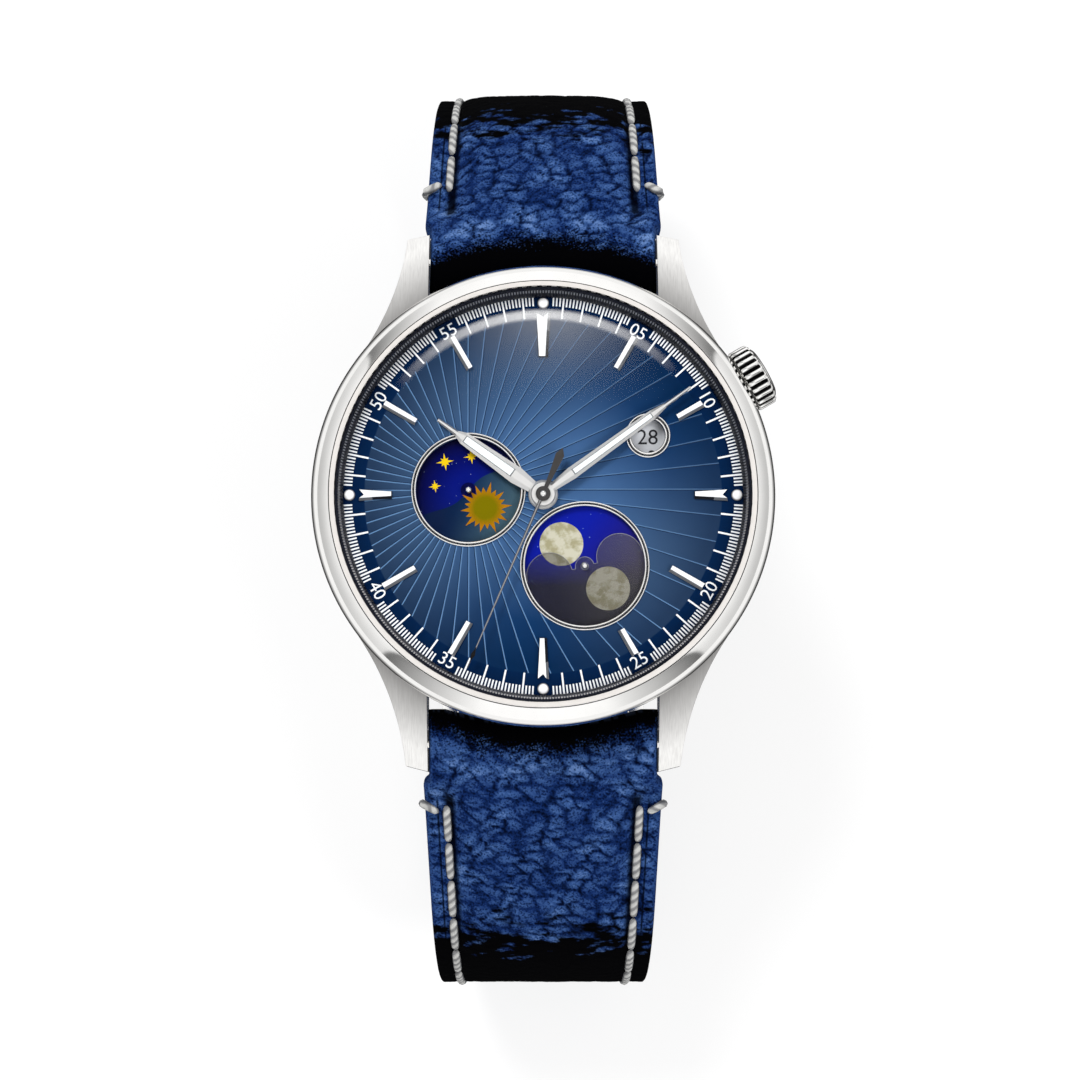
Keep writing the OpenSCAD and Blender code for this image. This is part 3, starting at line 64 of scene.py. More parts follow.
class Socket:
    # A node's output. Its operators add Math nodes, so shader maths reads as an expression.
    def __init__(self, graph, output):
        self.graph, self.output = graph, output

    def maths(self, operation, *others, clamp=False):
        values = dict(enumerate((self, *others)))
        return self.graph.node("Math", {"operation": operation, "use_clamp": clamp}, values)

    def __add__(self, other):
        return self.maths("ADD", other)

    def __sub__(self, other):
        return self.maths("SUBTRACT", other)

    def __rsub__(self, other):
        return self.graph.node("Math", {"operation": "SUBTRACT"}, {0: other, 1: self})

    def __mul__(self, other):
        return self.maths("MULTIPLY", other)

    def __truediv__(self, other):
        return self.maths("DIVIDE", other)

    def __pow__(self, other):
        return self.maths("POWER", other)

    def __mod__(self, other):
        return self.maths("FLOORED_MODULO", other)

    def __abs__(self):
        return self.maths("ABSOLUTE")

    __radd__ = __add__

    def atLeast(self, other):
        return self.maths("MAXIMUM", other)

    def atMost(self, other):
        return self.maths("MINIMUM", other)

    def inDegrees(self):
        return self * (180 / math.pi)

    def over(self, edge, soft):
        # 0 below the edge and 1 above it, with a straight ramp as wide as soft between them
        return self.maths("MULTIPLY_ADD", 1 / soft, 0.5 - edge / soft, clamp=True)

    def under(self, edge, soft):
        return self.over(edge, -soft)


class Graph:
    # The nodes of one material, or of the world
    def __init__(self, owner):
        owner.use_nodes = True
        self.owner = owner
        self.tree = owner.node_tree
        self.tree.nodes.clear()

    def node(self, kind, settings=None, values=None, output=0):
        made = self.tree.nodes.new("ShaderNode" + kind)
        for name, value in (settings or {}).items():
            if name == "stops":
                while len(made.color_ramp.elements) < len(value):
                    made.color_ramp.elements.new(0.5)
                for element, (at, colour) in zip(made.color_ramp.elements, value):
                    element.position, element.color = at, (*colour, 1)
            else:
                setattr(made, name, value)
        for name, value in (values or {}).items():
            socket = made.inputs[name]
            if isinstance(value, Socket):
                self.tree.links.new(value.output, socket)
            elif socket.type == "RGBA":
                socket.default_value = (*value, 1)
            else:
                socket.default_value = value
        return Socket(self, made.outputs[output])

    def place(self, centre=(0, 0), stretch=(1, 1, 1)):
        # the point on the surface in mm, from a centre (x, y) or (x, y, z), stretched by axis
        where = self.node("TexCoord", output="Object")
        size = tuple(value / mm for value in stretch)
        shift = tuple(-a * b for a, b in zip((*centre, 0)[:3], stretch))
        return self.node("VectorMath", {"operation": "MULTIPLY_ADD"}, {0: where, 1: size, 2: shift})

    def split(self, vector):
        return [self.node("SeparateXYZ", None, {0: vector}, axis) for axis in "XYZ"]

    def flat(self, centre=(0, 0)):
        # the distances along X and Y from an upright axis through a centre
        return self.split(self.place(centre))[:2]

    def polar(self, centre=(0, 0)):
        # the distance from that axis and the angle round it
        x, y = self.flat(centre)
        return (x * x + y * y).maths("SQRT"), y.maths("ARCTAN2", x)

    def attribute(self, name):
        return self.node("Attribute", {"attribute_name": name}, None, "Fac")

    def ray(self, kind):
        return self.node("LightPath", output="Is " + kind + " Ray")

    def lookingUp(self):
        # the normal's z
        return self.split(self.node("NewGeometry", output="Normal"))[2]

    def rounded(self, radius, samples=4):
        # the normal as if every edge were rounded by a radius in mm
        return self.node("Bevel", {"samples": samples}, {"Radius": radius * mm})

    def streaks(self, first, second=0.0, detail=3):
        # noise over two measures of the surface
        return self.noise(self.node("CombineXYZ", None, {0: first, 1: second}), 1.0, detail)

    def noise(self, vector, scale, detail=2.0):
        return self.node("TexNoise", None, {"Vector": vector, "Scale": scale, "Detail": detail})

    def cells(self, vector, scale, feature="F1", output="Distance"):
        return self.node("TexVoronoi", {"feature": feature}, {"Vector": vector, "Scale": scale},
                         output)

    def mix(self, first, second, factor):
        return self.node("Mix", {"data_type": "RGBA"}, {0: factor, 6: first, 7: second}, 2)

    def ramp(self, value, stops):
        return self.node("ValToRGB", {"stops": stops}, {0: value})

    def bump(self, height, depth, strength=1.0):
        # height in shares of a depth in mm
        return self.node("Bump", None, {"Height": height, "Distance": depth * mm,
                                        "Strength": strength})

    def surface(self, **values):
        names = {"colour": "Base Color", "roughness": "Roughness", "metallic": "Metallic",
                 "normal": "Normal", "coat": "Coat Weight", "alpha": "Alpha",
                 "specular": "Specular IOR Level"}
        shader = self.node("BsdfPrincipled", None, {names[k]: v for k, v in values.items()})
        self.output(shader)
        return self.owner

    def output(self, shader, kind="OutputMaterial"):
        end = self.tree.nodes.new("ShaderNode" + kind)
        self.tree.links.new(shader.output, end.inputs["Surface"])
        return self.owner


def material(name):
    return Graph(bpy.data.materials.new(name))


# Meshes

def gridFaces(rows, columns, wrapRows=False, wrapColumns=False):
    # one face for each step of a grid: (i, j), (i + 1, j), (i + 1, j + 1), (i, j + 1)
    i, j = np.meshgrid(np.arange(rows - (not wrapRows)), np.arange(columns - (not wrapColumns)),
                       indexing="ij")
    nextI, nextJ = (i + 1) % rows, (j + 1) % columns
    corners = [i * columns + j, nextI * columns + j, nextI * columns + nextJ, i * columns + nextJ]
    return np.stack(corners, -1).reshape(-1, 4)


def prismFaces(count):
    # walls and both ends of a prism whose points are a ring below and then a ring above
    walls = gridFaces(2, count, wrapColumns=True)
    ends = [np.arange(count)[::-1], np.arange(count) + count]
    return [list(face) for face in walls] + [list(face) for face in ends]


def newObject(name, data):
    made = bpy.data.objects.new(name, data)
    bpy.context.scene.collection.objects.link(made)
    return made


def addPiece(name, points, faces, paint, body, slot, sharp=35, paintOf=None, values=None,
             merge=True):
    # points in mm in the row frame; faces is an array of quads or a list of faces; sharp is the
    # angle in degrees beyond which an edge shows
    mesh = bpy.data.meshes.new(name)
    points = np.asarray(points, float).reshape(-1, 3)
    faces = faces.tolist() if isinstance(faces, np.ndarray) else faces
    mesh.from_pydata((points * mm).tolist(), [], faces)
    for paintName in (paint if isinstance(paint, list) else [paint]):
        mesh.materials.append(paintName)
    if paintOf is not None:
        mesh.polygons.foreach_set("material_index", np.asarray(paintOf, np.int32))
    for key, numbers in (values or {}).items():
        mesh.attributes.new(key, "FLOAT", "POINT").data.foreach_set(
            "value", np.asarray(numbers, np.float32).ravel())
    shape = bmesh.new()
    shape.from_mesh(mesh)
    if merge:
        bmesh.ops.remove_doubles(shape, verts=shape.verts, dist=1e-7)
    bmesh.ops.recalc_face_normals(shape, faces=shape.faces)
    shape.to_mesh(mesh)
    shape.free()
    mesh.polygons.foreach_set("use_smooth", np.ones(len(mesh.polygons), bool))
    mesh.set_sharp_from_angle(angle=math.radians(sharp))
    mesh.update()
    piece = newObject(name, mesh)
    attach(piece, body)
    return piece


def lathe(profile, segments, centre=(0, 0), wave=None):
    # each profile point (r, z) carried round a circle: x = r cos a, y = r sin a; wave(a) adds to r
    a = np.linspace(0, 2 * math.pi, segments, endpoint=False)[:, None]
    r, z = np.asarray(profile, float).T
    radius = r[None, :] + (wave(a) if wave else 0)
    points = np.stack([centre[0] + radius * np.cos(a), centre[1] + radius * np.sin(a),
                       np.broadcast_to(z, radius.shape) + 0 * a], -1)
    return points, gridFaces(segments, len(profile), wrapRows=True, wrapColumns=True)


def arc(centre, radius, start, end, count):
    # points on a circle between two angles in degrees
    a = np.radians(np.linspace(start, end, count))
    return np.stack([centre[0] + radius * np.cos(a), centre[1] + radius * np.sin(a)], -1)


def pointAt(radius, degrees):
    # the point (x, y) at a distance from the middle, in a direction
    a = math.radians(degrees)
    return radius * math.cos(a), radius * math.sin(a)


def turned(points, degrees, centre=(0, 0)):
    # points turned about an upright axis through a centre
    a = math.radians(degrees)
    result = np.array(points, float)
    x, y = result[..., 0].copy(), result[..., 1].copy()
    result[..., 0] = centre[0] + x * math.cos(a) - y * math.sin(a)
    result[..., 1] = centre[1] + x * math.sin(a) + y * math.cos(a)
    return result


def stacked(parts):
    # several meshes as one: points joined, faces counted on from the points before them
    points, faces, start = [], [], 0
    for somePoints, someFaces in parts:
        somePoints = np.asarray(somePoints, float).reshape(-1, 3)
        points.append(somePoints)
        faces += [[int(v) + start for v in face] for face in someFaces]
        start += len(somePoints)
    return np.concatenate(points), faces


# Camera, floor and light

view = {"distance": 300, "elevation": 84, "fieldOfView": 19.21, "aimX": 3.2, "aimY": 46.4,
        "bezelHeight": backHeight + 10, "pixels": 1080, "sensor": 36, "clip": (0.01, 20)}


def addCamera():
    # stands off the bezel along the view's direction, turned so that the bezel falls on its pixel
    camera = bpy.data.cameras.new("camera")
    camera.sensor_width = view["sensor"]
    camera.lens = view["sensor"] / 2 / math.tan(math.radians(view["fieldOfView"] / 2))
    camera.clip_start, camera.clip_end = view["clip"]
    stand = newObject("camera", camera)
    bpy.context.scene.camera = stand
    tilt = math.radians(view["elevation"])
    back = Vector((0, -math.cos(tilt), math.sin(tilt)))
    stand.location = (Vector((0, 0, view["bezelHeight"])) + back * view["distance"]) * mm
    perPixel = view["fieldOfView"] / view["pixels"]
    pitch = math.radians(view["elevation"] - 90 + view["aimY"] * perPixel)
    turn = math.radians(view["aimX"] * perPixel)
    stand.rotation_euler = (-pitch, 0, 0)
    stand.rotation_euler.rotate_axis("Y", turn)


studio = {"worldLight": 0.66, "overhead": 0.97, "overheadWidth": 22, "overheadSoft": 16,
          "front": 1.12, "sides": 0.55, "panelTop": (77, 18), "panelEdge": 1.2,
          "floorRadius": 1.5, "floorGrey": 0.92, "floorShadow": 0.3,
          "darkFloor": 0.05, "darkWithin": 0.062, "lightBeyond": 0.12,
          "sectors": [(44, 66, 0.8), (137, 115, 0.8), (221, 252, 0.85), (319, 288, 0.85)]}


def addWorld():
    # white for camera, glossy and see-through rays; glossy rays also see grey studio panels
    world = bpy.data.worlds.new("studio")
    bpy.context.scene.world = world
    graph = Graph(world)
    x, y, z = graph.split(graph.node("TexCoord", output="Generated"))
    azimuth = y.maths("ARCTAN2", x).inDegrees() % 360
    height = z.maths("ARCSINE").inDegrees()
    overhead = height.over(90 - studio["overheadWidth"], studio["overheadSoft"])
    shade = 1 - overhead * (1 - studio["overhead"])
    level = height.under(*studio["panelTop"])
    # brightest before and behind the watch, greyer at its sides
    shade = shade * (studio["front"] - x * x * level * studio["sides"])
    for sharpEdge, softEdge, depth in studio["sectors"]:
        # each panel is dark at its sharp edge and fades towards the soft one
        way = 1 if softEdge > sharpEdge else -1
        along = (azimuth - sharpEdge) * way
        fade = 1 - along / abs(softEdge - sharpEdge)
        panel = along.over(0, studio["panelEdge"]) * fade.atLeast(0)
        shade = shade * (1 - panel * level * depth)
    plain = graph.ray("Camera").atLeast(graph.ray("Transmission"))
    light, seen, mirrored = (
        graph.node("Background", None, {"Color": (1, 1, 1), "Strength": strength})
        for strength in (studio["worldLight"], 1.0, shade))
    mixed = graph.node("MixShader", None, {0: graph.ray("Glossy"), 1: light, 2: mirrored})
    graph.output(graph.node("MixShader", None, {0: plain, 1: mixed, 2: seen}), "OutputWorld")


def addFloor():
    # a wide disc with a faint shadow, and dark round the object as polished metal mirrors it
    a = np.linspace(0, 2 * math.pi, 64, endpoint=False)
    rim = np.stack([np.cos(a), np.sin(a), 0 * a], -1) * studio["floorRadius"]
    mesh = bpy.data.meshes.new("floor")
    mesh.from_pydata(rim.tolist(), [], [list(range(len(rim)))])
    graph = material("floor")
    glossy = graph.ray("Glossy")
    rays = graph.ray("Camera").atLeast(glossy).atLeast(graph.ray("Transmission"))
    matt = graph.node("BsdfDiffuse", None, {"Color": [studio["floorGrey"]] * 3})
    radius = graph.polar()[0]
    middle = (studio["darkWithin"] + studio["lightBeyond"]) / 2 / mm
    near = radius.under(middle, (studio["lightBeyond"] - studio["darkWithin"]) / mm)
    strength = 1 - glossy * near * (1 - studio["darkFloor"])
    white = graph.node("Emission", None, {"Color": (1, 1, 1), "Strength": strength})
    share = (rays * (1 - studio["floorShadow"])).atLeast(glossy)
    mixed = graph.node("MixShader", None, {0: share, 1: matt, 2: white})
    mesh.materials.append(graph.output(mixed))
    floor = newObject("floor", mesh)


lamps = {"key": {"at": (-0.25, 0.42, 0.75), "size": 0.3, "power": 5.0},
         "fill": {"at": (0.4, -0.2, 0.6), "size": 0.4, "power": 2.5}}


def addLamps():
    for name, lamp in lamps.items():
        data = bpy.data.lights.new(name, "AREA")
        data.shape, data.size, data.energy = "DISK", lamp["size"], lamp["power"]
        stand = newObject(name, data)
        stand.visible_glossy = False
        stand.location = lamp["at"]
        stand.rotation_euler = (-Vector(lamp["at"])).to_track_quat("-Z", "Y").to_euler()


bpy.context.scene.view_settings.view_transform = "Standard"
addCamera()
addWorld()
addFloor()
addLamps()
print("camera, floor and light set")


# Metals

def metal(graph, tone, roughness, normal):
    return graph.surface(colour=tone, metallic=1.0, roughness=roughness, normal=normal)


def polishedSteel(name, colour, roughness=0.07, bevel=0.05):
    # mirror finish with faint hairlines
    graph = material(name)
    hairs = graph.noise(graph.place(), 6.0, 4)
    wear = graph.noise(graph.place(), 0.35, 3)
    tone = graph.mix(rgb(*colour), rgb(*colour, 0.9), wear)
    return metal(graph, tone, hairs * 0.06 + roughness - 0.03, graph.rounded(bevel))


brushed = {"stretch": (14, 0.35, 2), "streak": (196, 194, 192), "shade": (112, 110, 109),
           "shadeTo": 24.2, "shadeSoft": 5.0, "topFrom": 0.72, "topSoft": 0.12,
           "topRough": 0.3, "flankRough": 0.1, "bevel": 0.08, "depth": 0.004}


def brushedSteel(name, colour):
    # hairlines along Y where the surface looks up, painted shade beside the bezel, polished flanks
    graph = material(name)
    b = brushed
    streaks = graph.noise(graph.place(stretch=b["stretch"]), 1.0, 4)
    up = abs(graph.lookingUp()).over(b["topFrom"], b["topSoft"])
    radius = graph.polar()[0]
    tone = graph.mix(rgb(*colour), rgb(*b["streak"]), (streaks - 0.35) * up)
    # painted shade: the tops grow darker towards the bezel
    tone = graph.mix(tone, rgb(*b["shade"]), radius.under(b["shadeTo"], b["shadeSoft"]) * up * 0.8)
    rough = up * (b["topRough"] - b["flankRough"]) + b["flankRough"] + up * streaks * 0.14
    hairs = graph.node("Bump", None, {"Height": streaks * up, "Distance": b["depth"] * mm,
                                      "Strength": 0.6, "Normal": graph.rounded(b["bevel"])})
    return metal(graph, tone, rough, hairs)


def stripedMetal(name, colour, pitch, turn):
    # broad parallel stripes, each with fine grain slanting across it and painted shade across its
    # width
    graph = material(name)
    x, y = graph.flat()
    c, s = pointAt(1, turn)
    along, across = x * c + y * s, y * c - x * s
    wave = (across % pitch) / pitch
    grain = graph.streaks((along + wave * 0.9) * 7, across * 0.25)
    # painted shade: each stripe darkens across its width, following its slope
    tone = graph.mix(rgb(*colour), rgb(*colour, 0.55), wave * 0.8)
    tone = graph.mix(tone, rgb(*colour, 0.5), (grain - 0.4) * 0.7)
    return metal(graph, tone, grain * 0.2 + 0.2, graph.bump(wave + grain * 0.4, 0.012))


def circledMetal(name, colour, pitch=1.1):
    # rows of overlapping turned circles
    graph = material(name)
    column, row = ((side / pitch - 0.5) % 1 - 0.5 for side in graph.flat())
    distance = (column * column + row * row).maths("SQRT")
    rings = graph.streaks(distance * 26, detail=2)
    tone = graph.mix(rgb(*colour), rgb(*colour, 0.5),
                     distance.over(0.42, 0.3) * 0.7 + rings * 0.25)
    return metal(graph, tone, rings * 0.2 + 0.22, graph.bump(rings + distance, 0.01))


def turnedMetal(name, colour, centre=(0, 0), roughness=0.22, rings=9):
    # fine circular grain round a centre
    graph = material(name)
    radius, angle = graph.polar(centre)
    grain = graph.streaks(radius * rings, angle * 0.3)
    tone = graph.mix(rgb(*colour), rgb(*colour, 0.7), grain)
    return metal(graph, tone, grain * 0.2 + roughness - 0.1, graph.bump(grain, 0.003))


def lacquer(name, colour, roughness, coat=0.0, specular=0.15):
    # smooth painted surface with a faint unevenness
    graph = material(name)
    haze = graph.noise(graph.place(), 1.5, 3)
    tone = graph.mix(rgb(*colour), rgb(*colour, 0.88), haze)
    return graph.surface(colour=tone, roughness=haze * 0.1 + roughness - 0.05, coat=coat,
                         specular=specular)


def dress(paint, *nodes):
    # a CAD node keeps its mesh and takes a new material
    for node in nodes:
        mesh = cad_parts[node].data
        mesh.materials.clear()
        mesh.materials.append(paint)


caseColour = (250, 249, 247)
steel = brushedSteel("case steel", caseColour)
mirror = polishedSteel("polished steel", caseColour)
# dark paint for painted shade in grooves, steps and a wedge's inner walls
groove = lacquer("groove painted shade", (24, 26, 32), 0.5)
shaded = lacquer("shaded side", (104, 106, 110), 0.4)
white = lacquer("white lacquer", (240, 242, 244), 0.35)


# Case, bezel and glass

bezelSizes = {"outer": 21.87, "seat": 19.6, "lip": 20.0, "foot": 8.93, "glass": 10.88,
              "top": 11.03, "round": 2.45, "flat": 0.09, "line": 0.08, "steps": 36,
              "segments": 256}


def addBezel():
    # round outer edge between a short upright wall and the flat top beside the glass, with a dark
    # line of painted shade in the small step where the edge meets the top
    b = bezelSizes
    middle = (b["outer"] + b["flat"] - b["round"], b["top"] + b["flat"] - b["round"])
    low = math.degrees(math.acos((b["outer"] - middle[0]) / b["round"]))
    high = math.degrees(math.asin((b["top"] - middle[1]) / b["round"]))
    edge = arc(middle, b["round"], low, high, b["steps"])
    inner, low = edge[-1][0] - b["line"], b["top"] - b["line"]
    profile = np.array([(b["seat"], b["foot"]), (b["outer"], b["foot"]), *edge,
                        (edge[-1][0], low), (inner, low), (inner, b["top"]),
                        (b["lip"], b["top"]), (b["lip"], b["glass"]), (b["seat"], b["glass"])])
    profile[:, 1] += backHeight
    first = 1 + len(edge)
    paintOf = [int(first <= step < first + 3) for step in range(len(profile))] * b["segments"]
    piece = addPiece("bezelRing", *lathe(profile, b["segments"]), [mirror, groove], "case",
                     "polished_steel", sharp=12, paintOf=paintOf)
    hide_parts("bezel")


glassShape = {"ior": 1.18, "clear": 0.0078, "radius": 16.85, "width": 1.1, "middle": 93,
              "reach": (28, 46), "ridge": 0.38, "sheen": 0.1, "sheenFrom": 8.0, "sheenTo": 17.0,
              "sheenRim": (16.6, 0.4), "sheenX": 1.5, "sheenSides": (5.5, 9.0)}


def glassPaint(name, isFront):
    # coated glass: nearly clear from straight ahead, mirror-like at a low angle; the front one
    # carries a painted reflection: a pale arc along its upper rim and a painted sheen under it
    graph = material(name)
    g = glassShape
    shine = (graph.node("Fresnel", None, {"IOR": g["ior"]}) - g["clear"]).atLeast(0)
    if isFront:
        # painted reflection: the arc and the sheen below it are drawn into the alpha by position
        radius, angle = graph.polar()
        x, y = graph.flat()
        near = abs(angle.inDegrees() - g["middle"]).under(*g["reach"])
        ridge = (1 - abs(radius - g["radius"]) / (g["width"] / 2)).atLeast(0)
        ridge = ridge.over(0.3, 0.6) * near
        sheen = ((y - g["sheenFrom"]) / (g["sheenTo"] - g["sheenFrom"])).atLeast(0)
        sheen = sheen * sheen * radius.under(*g["sheenRim"])
        sheen = sheen * abs(x - g["sheenX"]).under(*g["sheenSides"])
        top = graph.lookingUp().over(0.9, 0.05)
        shine = shine.atLeast((ridge * g["ridge"] + sheen * g["sheen"]) * top)
    return graph.surface(colour=(1, 1, 1), metallic=1.0, roughness=0.02, alpha=shine)


flangeSizes = {"inner": 18.86, "outer": 19.55, "foot": 9.04, "step": 9.53, "glass": 10.86,
               "lean": 0.45, "teeth": 450, "depth": 0.035, "bandLow": (10.25, 0.15),
               "bandHigh": (10.72, 0.1), "lowerHalf": (-2, 10)}
flangeColours = {"ground": (12, 16, 28), "band": (206, 202, 198), "dot": (150, 152, 158),
                 "lowRibShade": (20, 30, 60)}


def addFlange():
    # sloping ring under the glass, ribbed all round: r gains depth * cos(teeth * a) on its slope;
    # painted glints on the ribs in its upper half, and a painted highlight band with dark dots in
    # its lower half
    f, c = flangeSizes, allLinear(flangeColours)
    slope = np.stack([np.linspace(f["inner"], f["inner"] + f["lean"], 6),
                      np.linspace(f["step"], f["glass"], 6)], -1)
    profile = np.array([(f["outer"], f["foot"]), (f["outer"], f["glass"]), *slope[::-1],
                        (f["inner"], f["foot"])])
    profile[:, 1] += backHeight
    onSlope = (profile[:, 0] < f["outer"] - 0.01)[None, :]

    def ribs(a):
        return onSlope * f["depth"] * np.cos(f["teeth"] * a)
    graph = material("flange enamel")
    angle = graph.polar()[1]
    y, z = graph.split(graph.place((0, 0, backHeight)))[1:]
    rib = (angle * f["teeth"]).maths("COSINE").under(-0.1, 0.8)
    # painted light: a highlight band on the lower half with shade between its ribs, glints on the
    # ribs above
    rim = z.over(*f["bandLow"]) * z.under(*f["bandHigh"])
    low = y.under(*f["lowerHalf"])
    ground = graph.mix(c["ground"], c["band"], rim * low)
    dots = graph.mix(c["dot"], c["lowRibShade"], low)
    tone = graph.mix(ground, dots, rib * rim)
    paint = graph.surface(colour=tone, roughness=0.4, specular=0.15)
    piece = addPiece("flangeRibs", *lathe(profile, f["teeth"] * 4, wave=ribs), paint, "case",
                     "flange", sharp=50)
    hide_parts("flange_ring")


crownShape = {"turn": 30, "axisHeight": backHeight + 6.49, "start": 22.05, "length": 1.95,
              "radius": 3.1, "bore": 1.2, "boreDepth": 0.9, "cap": 0.4, "capRadius": 2.5,
              "flutes": 24, "perFlute": 12, "depth": 0.27}


def addCrown():
    # a lathe form round the stem; at each of n flutes r falls by depth * (1 - |cos(n a / 2)|^1.6)
    k = crownShape
    bore, l, r, cap, deep = (k[key] for key in ("bore", "length", "radius", "capRadius",
                                                "boreDepth"))
    profile = np.array([(bore, 0), (r - 0.35, 0), (r - 0.1, 0.05), (r, 0.2), (r, 0.8),
                        (r, l - 0.45), (r - 0.03, l - 0.2), (r - 0.25, l), (cap + 0.15, l + 0.02),
                        (cap, l + 0.16), (cap - 0.25, l + 0.3), (1.5, l + k["cap"]),
                        (0.0, l + k["cap"] + 0.02), (0.0, deep), (bore, deep)])
    fluted = ((profile[:, 0] > r - 0.2) & (profile[:, 1] < l - 0.05))[None, :] * 1.0
    segments = k["flutes"] * k["perFlute"]

    def hollow(a):
        return fluted * (1 - np.abs(np.cos(k["flutes"] * a / 2)) ** 1.6)
    turns = np.linspace(0, 2 * math.pi, segments, endpoint=False)[:, None]
    points, faces = lathe(profile, segments, wave=lambda a: -k["depth"] * hollow(a))
    points = np.stack([k["start"] + points[..., 2], points[..., 0], points[..., 1]], -1)
    points = turned(points, k["turn"]) + (0, 0, k["axisHeight"])
    graph = material("fluted steel with painted shade")
    depth = graph.attribute("hollow")
    # painted shade: the flutes' hollows darken to near black
    tone = graph.mix(rgb(244, 243, 241), rgb(10, 10, 12), depth.over(0.42, 0.24))
    paint = graph.surface(colour=tone, metallic=1.0, roughness=depth * 0.2 + 0.06)
    piece = addPiece("crownGrip", points, faces, paint, "crown", "case_steel", sharp=40,
                     values={"hollow": hollow(turns)}, merge=False)
    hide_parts("crown")


dress(steel, "case_middle", "case_back")
dress(mirror, "crown_tube", "buckle_frame", "buckle_tang", "buckle_pin", "spring_bars")
dress(glassPaint("crystal glass", True), "crystal")
dress(glassPaint("back glass", False), "case_back_crystal")
dress(lacquer("gasket", (206, 202, 198), 0.4), "gaskets")
addBezel()
addFlange()
addCrown()
print("case, bezel and glass made")


# Dial

dialSizes = {"top": backHeight + 9.03, "sun": (-7.05, 0.51), "sunWindow": 4.95,
             "moon": (3.92, -6.68), "moonWindow": 5.64, "ringWidth": 0.48, "ringHeight": 0.2,
             "dateRadius": 11.4, "dateAngle": 29.7, "dateWindow": 1.62, "dateRingWidth": 0.51,
             "trackFrom": 16.85, "blendTo": 20, "rays": 60}
dialColours = {"middle": (60, 92, 134), "half": (52, 76, 107), "outer": (35, 54, 80),
               "shadedHalf": (15, 48, 88), "shadedOuter": (4, 34, 68), "track": (4, 30, 64),
               "edge": (3, 20, 48), "rayHighlight": (88, 124, 164), "rayShadeColour": (16, 34, 62)}
# painted shade: the dial darkens along these directions
shadedWays = {35: 4, 264: 4}  # the dial is deeper blue in these directions: degrees, sharpness
dateCentre = pointAt(dialSizes["dateRadius"], dialSizes["dateAngle"])


def dialPaint():
    # blue with painted light that falls off outwards, a step to the minute track and painted shade
    # sweeping between the rays
    graph = material("sunburst dial")
    d, c = dialSizes, allLinear(dialColours)
    radius, angle = graph.polar()
    out = radius / d["blendTo"]
    # painted light: it falls off outwards, most of all along the shaded directions
    pale, deep = (graph.ramp(out, [(0.28, c["middle"]), (0.6, c[half]), (0.81, c[outer])])
                  for half, outer in (("half", "outer"), ("shadedHalf", "shadedOuter")))
    lobes = [(angle - math.radians(way)).maths("COSINE").atLeast(0) ** sharpness
             for way, sharpness in shadedWays.items()]
    tone = graph.mix(pale, deep, lobes[0].atLeast(lobes[1]))
    fromSun, around = graph.polar(d["sun"])
    step = 360 / d["rays"]
    # painted shade: each sector between the rays darkens towards one side
    tone = graph.mix(tone, c["rayShadeColour"], (around.inDegrees() % step) / step * 0.2)
    band = graph.ramp(out, [(0.84, c["track"]), (0.97, c["edge"])])
    tone = graph.mix(tone, band, radius.over(d["trackFrom"], 0.12))
    grain = graph.streaks(around * 20, fromSun * 0.4)
    return graph.surface(colour=tone, roughness=grain * 0.1 + 0.4, specular=0.02)


rayShape = {"light": 0.1, "dark": 0.07, "height": 0.03, "underRing": 0.02, "shortest": 0.05}


def addRays():
    # raised rays from the day window: each a low prism, painted light on one face and painted shade
    # on the other, from the window's ring to the minute track, broken where a window's ring crosses
    # it
    d, s = dialSizes, rayShape
    middle = np.array(d["sun"])
    start = d["sunWindow"] + d["ringWidth"] - s["underRing"]
    rings = [(np.array(d["moon"]), d["moonWindow"] + d["ringWidth"] - s["underRing"]),
             (np.array(dateCentre), d["dateWindow"] + d["dateRingWidth"] - s["underRing"])]
    parts, paintOf = [], []
    for k in range(d["rays"]):
        a = 2 * math.pi * k / d["rays"]
        way, side = np.array([math.cos(a), math.sin(a)]), np.array([math.sin(a), -math.cos(a)])
        reach = -middle @ way + math.sqrt((middle @ way) ** 2 - middle @ middle
                                          + d["trackFrom"] ** 2)
        spans = [(start, reach)]
        for centre, radius in rings:
            along = (centre - middle) @ way
            half = radius ** 2 - ((centre - middle) @ side) ** 2
            if half > 0 and along > 0:
                half = math.sqrt(half)
                spans = [cut for low, high in spans
                         for cut in ((low, min(high, along - half)), (max(low, along + half), high))
                         if cut[1] - cut[0] > s["shortest"]]
        for low, high in spans:
            ring = [(-s["light"], 0), (0, s["height"]), (s["dark"], 0)]
            points = [[*(middle + way * at + side * across), d["top"] + up]
                      for at in (low, high) for across, up in ring]
            parts.append((points, [[0, 1, 4, 3], [1, 2, 5, 4], [2, 0, 3, 5], [2, 1, 0], [3, 4, 5]]))
            paintOf += [0, 1, 0, 0, 0]
    light = material("ray painted highlight")
    x, y = light.flat()
    haze = light.noise(light.place(), 0.25, 2)
    # the painted highlight fades towards the upper right
    tone = light.mix(rgb(*dialColours["rayHighlight"]), rgb(*dialColours["half"]),
                     (haze * 0.3 + (x + y) * 0.035).atLeast(0).atMost(0.8))
    light.surface(colour=tone, roughness=0.4, specular=0.03)
    dark = lacquer("ray shade", dialColours["rayShadeColour"], 0.5)
    addPiece("dialRays", *stacked(parts), [light.owner, dark], "case", "dial", paintOf=paintOf,
             merge=False)


trackShape = {"out": 18.85, "shortIn": 18.03, "longIn": 16.85, "width": 0.15, "longWidth": 0.17,
              "thick": 0.02, "numberRadius": 18.0, "numberSize": 1.7,
              "numbers": (5, 10, 20, 25, 35, 40, 50, 55)}


